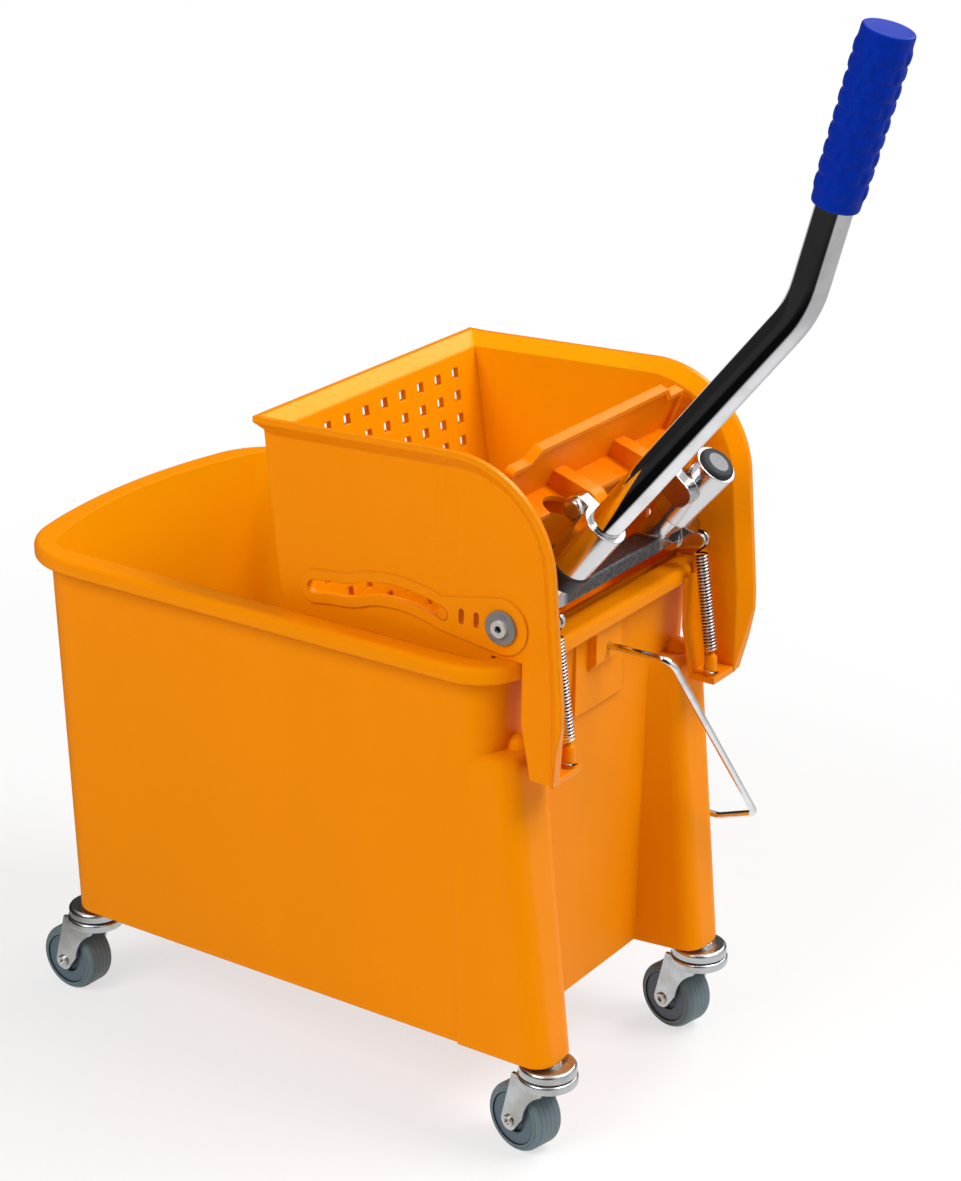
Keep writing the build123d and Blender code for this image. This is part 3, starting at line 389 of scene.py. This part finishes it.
def buildDrawnMetal(f):
    tree, start, end = newGroup(
        "drawnMetal",
        [("Lines", "Vector", (900, 900, 30)), ("Roughness", "Float", 0.1), ("Smudge", "Float", 0.06)],
        [("Roughness", "Float"), ("Height", "Float"), ("Smudge", "Float")])
    place = objectPlace(tree)
    hair = noiseNode(tree, vectorNode(tree, "MULTIPLY", place, start["Lines"]), *f["hair"])
    smudge = noiseNode(tree, place, *f["smudge"])
    patch = mathNode(tree, "SUBTRACT", smudge, f["smudgeMiddle"])
    spread = mathNode(tree, "MULTIPLY", patch, start["Smudge"])
    uneven = mathNode(tree, "MULTIPLY", mathNode(tree, "SUBTRACT", hair, 0.5), f["hairRough"])
    rough = mathNode(tree, "ADD", start["Roughness"], spread)
    tree.links.new(mathNode(tree, "ADD", rough, uneven, clamp=True), end["Roughness"])
    tree.links.new(hair, end["Height"])
    tree.links.new(smudge, end["Smudge"])
    return tree


# pitted casting: coarse skin of a cast piece
castForm = {"cellHeight": 0.5, "rubble": (340.0, 5.0, 0.65), "speckShown": (0.42, 0.62)}


def buildCastSkin(f):
    tree, start, end = newGroup(
        "castSkin", [("Scale", "Float", 620.0)], [("Height", "Float"), ("Speckle", "Float")])
    place = objectPlace(tree)
    cells = addNode(tree, "ShaderNodeTexVoronoi", feature="SMOOTH_F1")
    tree.links.new(place, cells.inputs["Vector"])
    tree.links.new(start["Scale"], cells.inputs["Scale"])
    rubble = noiseNode(tree, place, *f["rubble"])
    pits = mathNode(tree, "MULTIPLY", cells.outputs["Distance"], f["cellHeight"])
    tree.links.new(mathNode(tree, "ADD", pits, rubble), end["Height"])
    tree.links.new(rampNode(tree, rubble, *f["speckShown"]), end["Speckle"])
    return tree


mouldedSkin = buildMouldedSkin(skinForm)
edgeCatch = buildEdgeCatch(edgeForm)
drawnMetal = buildDrawnMetal(drawnForm)
castSkin = buildCastSkin(castForm)
print("effects: moulded skin, edge catch, drawn metal, cast skin")


# materials
def newMaterial(name):
    mat = bpy.data.materials.new(name)
    mat.use_nodes = True
    return mat, mat.node_tree, mat.node_tree.nodes["Principled BSDF"]


def placeGroup(tree, group, **values):
    node = addNode(tree, "ShaderNodeGroup", node_tree=group)
    for label, value in values.items():
        feed(tree, node.inputs[label], value)
    return node.outputs


def bumpNode(tree, bsdf, height, strength, distance, normal):
    bump = addNode(tree, "ShaderNodeBump")
    bump.inputs["Strength"].default_value = strength
    bump.inputs["Distance"].default_value = distance
    tree.links.new(height, bump.inputs["Height"])
    tree.links.new(normal, bump.inputs["Normal"])
    tree.links.new(bump.outputs[0], bsdf.inputs["Normal"])


plasticForm = {
    "edgeShare": 0.35, "tint": (1, 0.5, 0.02), "grain": 1100.0, "bump": 0.16, "bumpDepth": 0.0008,
    "turned": (0.1, 0.4),
}
# each plastic's edge colour is a painted highlight along its corners
plastics = {
    "bucketPlastic": {
        "color": (0.86, 0.252, 0.0006), "edge": (0.9, 0.36, 0.03), "edgeWidth": 0.0016,
        "roughness": 0.40, "cloud": 0.10, "gloss": 0.11, "scuffs": 0.5,
        # the inside colour is painted light, paler than the outside
        "inside": {"color": (0.99, 0.39, 0.001), "middle": (-0.22, 0, 0), "backWall": -0.004, "soft": 0.004}},
    "wringerPlastic": {
        "color": (0.87, 0.248, 0.0006), "edge": (0.9, 0.38, 0.03), "edgeWidth": 0.0014,
        "roughness": 0.30, "cloud": 0.08, "gloss": 0.28, "scuffs": 0.6,
        "inside": {"color": (0.9, 0.35, 0.001), "middle": (-0.111, 0, 0), "backWall": 0.03, "soft": 0.11}},
    "platePlastic": {
        "color": (0.86, 0.212, 0.0006), "edge": (0.9, 0.36, 0.03), "edgeWidth": 0.0014,
        "roughness": 0.36, "cloud": 0.08, "gloss": 0.2, "scuffs": 0.7},
}


# painted light: a paler colour on the faces that look towards the middle of the tub or basket, up to its back
# wall
def paintedInsideLight(tree, inside):
    coord = addNode(tree, "ShaderNodeTexCoord")
    inwards = vectorNode(tree, "SUBTRACT", axle + Vector(inside["middle"]), coord.outputs["Object"])
    level = vectorNode(tree, "NORMALIZE", vectorNode(tree, "MULTIPLY", inwards, (1, 1, 0)))
    turned = vectorNode(tree, "DOT_PRODUCT", level, coord.outputs["Normal"])
    edge = axle.x + inside["backWall"]
    behind = rampNode(tree, splitNode(tree, coord.outputs["Object"])["X"], edge - inside["soft"], edge)
    return mathNode(tree, "MULTIPLY", rampNode(tree, turned, *plasticForm["turned"]), invert(tree, behind))


def plasticMaterial(name, p):
    mat, tree, bsdf = newMaterial(name)
    skin = placeGroup(tree, mouldedSkin, Color=p["color"], Cloud=p["cloud"], Grain=plasticForm["grain"],
                      Scuffs=p["scuffs"], Roughness=p["roughness"])
    edge = placeGroup(tree, edgeCatch, Width=p["edgeWidth"])
    # painted highlight: a paler colour along the edges, where light catches the corners
    amount = mathNode(tree, "MULTIPLY", edge["Edge"], plasticForm["edgeShare"])
    colour = mixColour(tree, amount, skin["Color"], p["edge"])
    if "inside" in p:  # painted light: the inside is given a paler, lit colour
        colour = mixColour(tree, paintedInsideLight(tree, p["inside"]), colour, p["inside"]["color"])
    tree.links.new(colour, bsdf.inputs["Base Color"])
    tree.links.new(skin["Roughness"], bsdf.inputs["Roughness"])
    bsdf.inputs["Specular IOR Level"].default_value = p["gloss"]
    feed(tree, bsdf.inputs["Specular Tint"], plasticForm["tint"])
    bumpNode(tree, bsdf, skin["Height"], plasticForm["bump"], plasticForm["bumpDepth"], edge["Normal"])
    return mat


metalForm = {
    "edgeWidth": 0.0006, "dullShown": (0.42, 0.7), "bumpDepth": 0.0004,
    "gapColor": (0.012, 0.010, 0.009), "socketShade": (0.02, 0.018, 0.016),
}
metals = {
    "tubeChrome": {"color": (0.80, 0.80, 0.82), "dull": (0.70, 0.69, 0.68), "roughness": 0.06,
                   "smudge": 0.06, "lines": (700, 700, 60), "bump": 0.02},
    "bailWire": {"color": (0.78, 0.78, 0.79), "dull": (0.62, 0.61, 0.60), "roughness": 0.10,
                 "smudge": 0.08, "lines": (30, 900, 900), "bump": 0.03},
    # the spring's gap range places painted shade on the inner side of the wire
    "springWire": {"color": (0.78, 0.78, 0.78), "dull": (0.60, 0.58, 0.55), "roughness": 0.26,
                   "smudge": 0.1, "lines": (900, 900, 900), "bump": 0.05, "gap": (0.84, 0.95)},
    "pivotSteel": {"color": (0.86, 0.84, 0.80), "dull": (0.62, 0.58, 0.52), "roughness": 0.26,
                   "smudge": 0.12, "lines": (600, 60, 600), "bump": 0.05, "metallic": 0.45,
                   "socket": (0.0021, 0.0027)},
    "boltSteel": {"color": (0.60, 0.58, 0.54), "dull": (0.36, 0.33, 0.29), "roughness": 0.24,
                  "smudge": 0.12, "lines": (600, 60, 600), "bump": 0.05},
    "washerZinc": {"color": (0.30, 0.30, 0.30), "dull": (0.12, 0.12, 0.125), "roughness": 0.5,
                   "smudge": 0.2, "lines": (900, 60, 900), "bump": 0.1, "metallic": 0.45},
    "casterZinc": {"color": (0.52, 0.53, 0.54), "dull": (0.40, 0.39, 0.36), "roughness": 0.26,
                   "smudge": 0.2, "lines": (260, 260, 260), "bump": 0.08},
}


def metalMaterial(name, m):
    mat, tree, bsdf = newMaterial(name)
    drawn = placeGroup(tree, drawnMetal, Lines=m["lines"], Roughness=m["roughness"], Smudge=m["smudge"])
    edge = placeGroup(tree, edgeCatch, Width=metalForm["edgeWidth"])
    patch = rampNode(tree, drawn["Smudge"], *metalForm["dullShown"])
    colour = mixColour(tree, patch, m["color"], m["dull"])
    if "gap" in m:  # painted shade: the inner side of each turn is darkened, seen between the turns
        outer = addNode(tree, "ShaderNodeAttribute", attribute_name="outer")
        shown = rampNode(tree, outer.outputs["Fac"], *m["gap"])
        colour = mixColour(tree, shown, metalForm["gapColor"], colour)
    if "socket" in m:  # painted shade: a dark disc in the middle of the bolt head for the hollow in it
        _, radius = aboutAxis(tree, axle, acrossAxis)
        colour = mixColour(tree, rampNode(tree, radius, *m["socket"]), metalForm["socketShade"], colour)
    tree.links.new(colour, bsdf.inputs["Base Color"])
    tree.links.new(drawn["Roughness"], bsdf.inputs["Roughness"])
    bsdf.inputs["Metallic"].default_value = m.get("metallic", 1.0)
    bumpNode(tree, bsdf, drawn["Height"], m["bump"], metalForm["bumpDepth"], edge["Normal"])
    return mat


# the casting is polished on the sockets and left rough and dark along the bar between them
crankFinish = {
    "bright": (0.66, 0.66, 0.67), "brightRough": 0.16, "smudge": 0.16, "lines": (120, 120, 700),
    "dark": (0.085, 0.092, 0.10), "darkRough": 0.5, "speck": (0.30, 0.31, 0.32), "speckShare": 0.35,
    "edge": (0.55, 0.55, 0.55), "edgeWidth": 0.0015, "edgeShare": 0.6,
    "barCore": 0.0115, "barEdge": 0.0165, "barRise": 0.00275, "barHalf": 0.056, "barFade": 0.008,
    "pitScale": 620.0, "barPits": 0.85, "restPits": 0.15, "bump": 0.35, "bumpDepth": 0.0009,
}


def castingMaterial(name, c):
    mat, tree, bsdf = newMaterial(name)
    along, radius = aboutAxis(tree, axle + Vector((0, 0, c["barRise"])), acrossAxis)
    near = invert(tree, rampNode(tree, radius, c["barCore"], c["barEdge"]))
    beyond = rampNode(tree, mathNode(tree, "ABSOLUTE", along), c["barHalf"], c["barHalf"] + c["barFade"])
    bar = mathNode(tree, "MULTIPLY", near, invert(tree, beyond))
    skin = placeGroup(tree, castSkin, Scale=c["pitScale"])
    edge = placeGroup(tree, edgeCatch, Width=c["edgeWidth"])
    drawn = placeGroup(tree, drawnMetal, Lines=c["lines"], Roughness=c["brightRough"], Smudge=c["smudge"])
    specks = mathNode(tree, "MULTIPLY", skin["Speckle"], c["speckShare"])
    rubbed = mathNode(tree, "MULTIPLY", edge["Edge"], c["edgeShare"])
    worn = mixColour(tree, rubbed, mixColour(tree, specks, c["dark"], c["speck"]), c["edge"])
    tree.links.new(mixColour(tree, bar, c["bright"], worn), bsdf.inputs["Base Color"])
    rougher = mathNode(tree, "MULTIPLY", bar, c["darkRough"] - c["brightRough"])
    tree.links.new(mathNode(tree, "ADD", drawn["Roughness"], rougher), bsdf.inputs["Roughness"])
    bsdf.inputs["Metallic"].default_value = 1.0
    pits = mathNode(tree, "ADD", mathNode(tree, "MULTIPLY", bar, c["barPits"]), c["restPits"])
    height = mathNode(tree, "MULTIPLY", skin["Height"], pits)
    bumpNode(tree, bsdf, height, c["bump"], c["bumpDepth"], edge["Normal"])
    return mat


rubberForm = {
    "cloud": 0.35, "scuffs": 0.35, "edgeWidth": 0.001, "edgeShare": 0.4, "specular": 0.4,
    "bump": 0.2, "bumpDepth": 0.0006, "grooveShadeColor": (0.006, 0.008, 0.010),
}
rubbers = {
    "gripBlue": {"color": (0.0016, 0.021, 0.310), "pale": (0.006, 0.05, 0.42), "roughness": 0.48,
                 "grain": 1500.0, "specular": 0.14, "tint": (0.1, 0.4, 1)},
    "bushBlack": {"color": (0.010, 0.010, 0.011), "pale": (0.05, 0.05, 0.05), "roughness": 0.38,
                  "grain": 1200.0},
    "plugBlack": {"color": (0.010, 0.011, 0.013), "pale": (0.02, 0.02, 0.02), "roughness": 0.12,
                  "grain": 500.0, "shine": {"middle": (0.0454, 0.070, 0.0647), "lean": 51.0,
                                            "inner": 0.0070, "outer": 0.0086, "dull": 0.55}},
}
wheelRubbers = {
    "hub": {"color": (0.080, 0.118, 0.150), "pale": (0.16, 0.20, 0.22), "roughness": 0.45, "grain": 1300.0},
    "tyre": {"color": (0.125, 0.175, 0.195), "pale": (0.22, 0.27, 0.27), "roughness": 0.55, "grain": 900.0},
}

# painted shade: a dark ring in the gap between hub and tyre, and dark lines for the grooves round the tread
wheelShadeLines = {
    "seam": 0.0190, "seamHalf": 0.00055, "tread": 0.0236, "treadFade": 0.0004, "treadPitch": 0.0042,
    "treadHalf": 0.0005, "treadShare": 0.45,
}


def wheelGrooveShade(tree, joint, w):
    across, radius = aboutAxis(tree, joint["pos_m"], joint["axis"])
    off = mathNode(tree, "ABSOLUTE", mathNode(tree, "SUBTRACT", radius, w["seam"]))
    seam = invert(tree, rampNode(tree, off, 0.0, w["seamHalf"]))
    fold = mathNode(tree, "PINGPONG", across, w["treadPitch"] / 2)
    line = invert(tree, rampNode(tree, fold, 0.0, w["treadHalf"]))
    line = mathNode(tree, "MULTIPLY", line, rampNode(tree, radius, w["tread"], w["tread"] + w["treadFade"]))
    return mathNode(tree, "MAXIMUM", seam, mathNode(tree, "MULTIPLY", line, w["treadShare"]))


# the face of the plug is polished in the middle and dull round its edge
def dullEdge(tree, shine):
    lean = math.radians(shine["lean"])
    _, radius = aboutAxis(tree, axle + Vector(shine["middle"]), (math.cos(lean), 0, math.sin(lean)))
    return mathNode(tree, "MULTIPLY", rampNode(tree, radius, shine["inner"], shine["outer"]), shine["dull"])


def rubberMaterial(name, r, joint=None):
    mat, tree, bsdf = newMaterial(name)
    skin = placeGroup(tree, mouldedSkin, Color=r["color"], Cloud=rubberForm["cloud"], Grain=r["grain"],
                      Scuffs=rubberForm["scuffs"], Roughness=r["roughness"])
    edge = placeGroup(tree, edgeCatch, Width=rubberForm["edgeWidth"])
    amount = mathNode(tree, "MULTIPLY", edge["Edge"], rubberForm["edgeShare"])
    colour = mixColour(tree, amount, skin["Color"], r["pale"])
    if joint:
        # painted shade in the gap between hub and tyre and in the tread grooves
        colour = mixColour(tree, wheelGrooveShade(tree, joint, wheelShadeLines), colour, rubberForm["grooveShadeColor"])
    rough = skin["Roughness"]
    if "shine" in r:
        rough = mathNode(tree, "ADD", rough, dullEdge(tree, r["shine"]))
    tree.links.new(colour, bsdf.inputs["Base Color"])
    tree.links.new(rough, bsdf.inputs["Roughness"])
    bsdf.inputs["Specular IOR Level"].default_value = r.get("specular", rubberForm["specular"])
    feed(tree, bsdf.inputs["Specular Tint"], r.get("tint", white))
    bumpNode(tree, bsdf, skin["Height"], rubberForm["bump"], rubberForm["bumpDepth"], edge["Normal"])
    return mat


finish = {name: plasticMaterial(name, p) for name, p in plastics.items()}
finish.update({name: metalMaterial(name, m) for name, m in metals.items()})
finish.update({name: rubberMaterial(name, r) for name, r in rubbers.items()})
finish["crankCasting"] = castingMaterial("crankCasting", crankFinish)
print("materials:", len(finish), "and one for each hub and tyre")

# finishes of the pieces that come with the frame; the wheels' painted shade lines need a material each
nodeFinish = {
    "bucket": "bucketPlastic", "wringer_frame": "wringerPlastic", "press_plate": "platePlastic",
    "carry_bail": "bailWire", "crank": "crankCasting", "handle_tube": "tubeChrome",
    "handle_grip": "gripBlue", "socket_bush": "bushBlack", "socket_plug": "plugBlack",
    "pivot_bolts": "pivotSteel", "pivot_washers": "washerZinc", "plate_hinge_pins": "boltSteel",
    "return_spring_near": "springWire", "return_spring_far": "springWire",
}
casterFinish = {"stem": "casterZinc", "race": "casterZinc", "fork": "casterZinc", "axle": "boltSteel"}
for name, obj in nodeObjects.items():
    corner, _, piece = name.rpartition("_")
    if piece in wheelRubbers:
        mat = rubberMaterial(name + "Rubber", wheelRubbers[piece], jointNamed[corner + "_roll"])
    else:
        mat = finish[nodeFinish.get(name) or casterFinish[piece]]
    obj.data.materials.clear()
    obj.data.materials.append(mat)
print("frame pieces dressed:", len(nodeObjects))

# return springs: one wire each, hooked round the peg below and over the lug above
returnSpring = {
    "apart": 0.092, "wire": 0.00062, "coil": 0.0043, "turns": 30, "stepsPerTurn": 16, "gap": 0.00015,
    "peg": (0.0354, -0.0850), "pegRadius": 0.0042, "pegFoot": -0.0953, "pegSteps": 5,
    "curlTurn": 210, "curlSteps": 8, "curlRise": 0.0004, "coilLow": 0.0062, "coilHigh": 0.0105,
    "lug": (0.0230, 0.0005), "lugRadius": 0.0055, "lugDrop": 0.002, "overSteps": 4, "overBulge": 0.0012,
    "hookEnd": 105, "hookSteps": 8, "order": 3, "resolution": 2, "weld": 0.00001, "bendFrom": 0.72,
}


def springPoints(s, y):
    peg = axle + Vector((s["peg"][0], y, s["peg"][1]))
    lug = axle + Vector((s["lug"][0], y, s["lug"][1]))
    along = (lug - peg).normalized()
    out = acrossAxis.cross(along)  # square to the wire's axis, towards +X
    low, high = peg + along * s["coilLow"], lug - along * s["coilHigh"]
    rise = (high - low).length
    steps = s["turns"] * s["stepsPerTurn"]
    clear = s["pegRadius"] + s["wire"] + s["gap"]
    foot = axle.z + s["pegFoot"]
    points = []
    for k in range(s["curlSteps"] + 1):  # curl round the foot of the peg
        a = math.radians(s["curlTurn"]) * (1 - k / s["curlSteps"]) + math.pi
        curl = Vector((math.cos(a), math.sin(a), 0)) * clear
        points.append(Vector((peg.x, peg.y, foot + s["curlRise"] * k)) + curl)
    for k in range(1, s["pegSteps"]):  # up the side of the peg
        points.append(Vector((peg.x - clear, peg.y, foot + (low.z - foot) * k / s["pegSteps"])))
    for k in range(steps + 1):
        a = math.pi + 2 * math.pi * k / s["stepsPerTurn"]
        turn = (out * math.cos(a) + acrossAxis * math.sin(a)) * s["coil"]
        points.append(low + along * (rise * k / steps) + turn)
    hook = s["lugRadius"] + s["wire"] + s["gap"]
    last = points[-1]
    for k in range(1, s["overSteps"]):  # from the last turn over to the outer side of the lug
        t = k / s["overSteps"]
        bulge = acrossAxis * (s["overBulge"] * math.sin(math.pi * t))
        points.append(last.lerp(lug + Vector((hook, 0, -s["lugDrop"])), t) + bulge)
    for k in range(s["hookSteps"] + 1):
        a = math.radians(s["hookEnd"]) * k / s["hookSteps"]
        points.append(lug + Vector((hook * math.cos(a), 0, hook * math.sin(a))))
    return points, low, high


def buildSpring(name, node, s, y):
    points, low, high = springPoints(s, y)
    curve = bpy.data.curves.new(name, "CURVE")
    curve.dimensions = "3D"
    spline = curve.splines.new("NURBS")
    spline.points.add(len(points) - 1)
    for point, place in zip(spline.points, points):
        point.co = (*place, 1)
    spline.order_u = s["order"]
    spline.use_endpoint_u = True
    curve.resolution_u = s["resolution"]
    curve.bevel_depth = s["wire"]
    curve.bevel_resolution = s["resolution"]
    curve.use_fill_caps = True
    spring = bpy.data.objects.new(name, curve)
    scene.collection.objects.link(spring)
    deselectAll()
    spring.select_set(True)
    bpy.context.view_layer.objects.active = spring
    bpy.ops.object.convert(target="MESH")
    bpy.ops.object.mode_set(mode="EDIT")
    bpy.ops.mesh.select_all(action="SELECT")
    bpy.ops.mesh.remove_doubles(threshold=s["weld"])
    bpy.ops.mesh.normals_make_consistent(inside=False)
    bpy.ops.object.mode_set(mode="OBJECT")
    bpy.ops.object.shade_smooth()
    # how far out of the coil each point of the wire lies, for the painted shade between the turns
    along = (high - low).normalized()
    outer = spring.data.attributes.new("outer", "FLOAT", "POINT")
    for vertex, value in zip(spring.data.vertices, outer.data):
        reach = vertex.co - low
        value.value = (reach - along * reach.dot(along)).length / (s["coil"] + s["wire"])
    spring.data.materials.append(finish["springWire"])
    # the coil keeps its line and only its upper end is drawn after the lug
    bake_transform(spring)
    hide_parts(node)
    print(name, len(spring.data.polygons), "faces")


buildSpring("springNear", "return_spring_near", returnSpring, -returnSpring["apart"])
buildSpring("springFar", "return_spring_far", returnSpring, returnSpring["apart"])

# grip: a flared sleeve with rows of nubs, each three faces wide of four, closed at the top
gripShape = {
    "start": (0.19294, -0.070, 0.29030), "lean": 75.2, "length": 0.1082, "lowRadius": 0.0148,
    "topRadius": 0.01605, "bore": 0.01165, "boreDepth": 0.03, "rows": 9, "columns": 9, "columnFaces": 4,
    "nubFaces": 3, "stagger": 2, "plain": 0.0078, "nubShare": 0.84, "nubHeight": 0.0011, "nubInset": 0.0008,
    "edge": 0.0016, "footEdge": 0.0024, "topDish": 0.0004, "levels": 2,
    "sideNormal": 0.5, "endNormal": 0.9, "endDepth": 0.0001,
}


def buildGrip(g):
    half = g["length"] / 2
    segments = g["columns"] * g["columnFaces"]
    deselectAll()
    bpy.ops.mesh.primitive_cylinder_add(vertices=segments, radius=g["lowRadius"], depth=g["length"])
    grip = bpy.context.object
    grip.name = "gripSleeve"
    pitch = (g["length"] - 2 * g["plain"]) / g["rows"]
    rows = []
    for row in range(g["rows"]):
        low = g["plain"] + (row + (1 - g["nubShare"]) / 2) * pitch - half
        rows.append((low, low + g["nubShare"] * pitch))
    cuts = [g["edge"] - half + g["footEdge"], half - 2 * g["edge"]] + [cut for row in rows for cut in row]
    bpy.ops.object.mode_set(mode="EDIT")
    for height in sorted(cuts):
        bpy.ops.mesh.select_all(action="SELECT")
        bpy.ops.mesh.bisect(plane_co=(0, 0, height), plane_no=(0, 0, 1))
    bpy.ops.object.mode_set(mode="OBJECT")

    def isNub(face):
        c = face.center
        row = next((k for k, (a, b) in enumerate(rows) if a < c.z < b), None)
        if abs(face.normal.z) > g["sideNormal"] or row is None:
            return False
        turn = math.atan2(c.y, c.x) % (2 * math.pi) / (2 * math.pi)
        step = int(turn * segments) + row % 2 * g["stagger"]
        return step % g["columnFaces"] < g["nubFaces"]

    selectFaces(grip, isNub)
    bpy.ops.mesh.inset(thickness=g["nubInset"], depth=0)
    grow = 1 + g["nubHeight"] / g["lowRadius"]
    bpy.ops.transform.resize(value=(grow, grow, 1), center_override=(0, 0, 0))
    selectFaces(grip, lambda f: f.normal.z < -g["endNormal"])
    bpy.ops.mesh.inset(thickness=g["footEdge"])
    bpy.ops.mesh.inset(thickness=g["lowRadius"] - g["bore"] - g["footEdge"])
    bpy.ops.mesh.extrude_region_move(TRANSFORM_OT_translate={"value": (0, 0, g["boreDepth"])})
    selectFaces(grip, lambda f: f.normal.z > g["endNormal"] and f.center.z > half - g["endDepth"])
    bpy.ops.mesh.inset(thickness=g["edge"])
    bpy.ops.mesh.inset(thickness=g["edge"] * 2)
    bpy.ops.transform.translate(value=(0, 0, -g["topDish"]))
    bpy.ops.object.mode_set(mode="OBJECT")
    for vertex in grip.data.vertices:  # flare towards the top
        share = (vertex.co.z + half) / g["length"]
        wide = 1 + (g["topRadius"] / g["lowRadius"] - 1) * share
        vertex.co.x *= wide
        vertex.co.y *= wide
    smooth = grip.modifiers.new("smooth", "SUBSURF")
    smooth.levels = smooth.render_levels = g["levels"]
    bpy.ops.object.modifier_apply(modifier=smooth.name)
    bpy.ops.object.shade_smooth()
    lean = math.radians(90 - g["lean"])
    middle = axle + Vector(g["start"]) + Vector((math.sin(lean), 0, math.cos(lean))) * half
    grip.matrix_world = Matrix.Translation(middle) @ Matrix.Rotation(lean, 4, "Y")
    bpy.ops.object.transform_apply(location=True, rotation=True, scale=True)
    grip.data.materials.append(finish["gripBlue"])
    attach(grip, "crank")
    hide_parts("handle_grip")
    print("grip", len(grip.data.polygons), "faces")


buildGrip(gripShape)
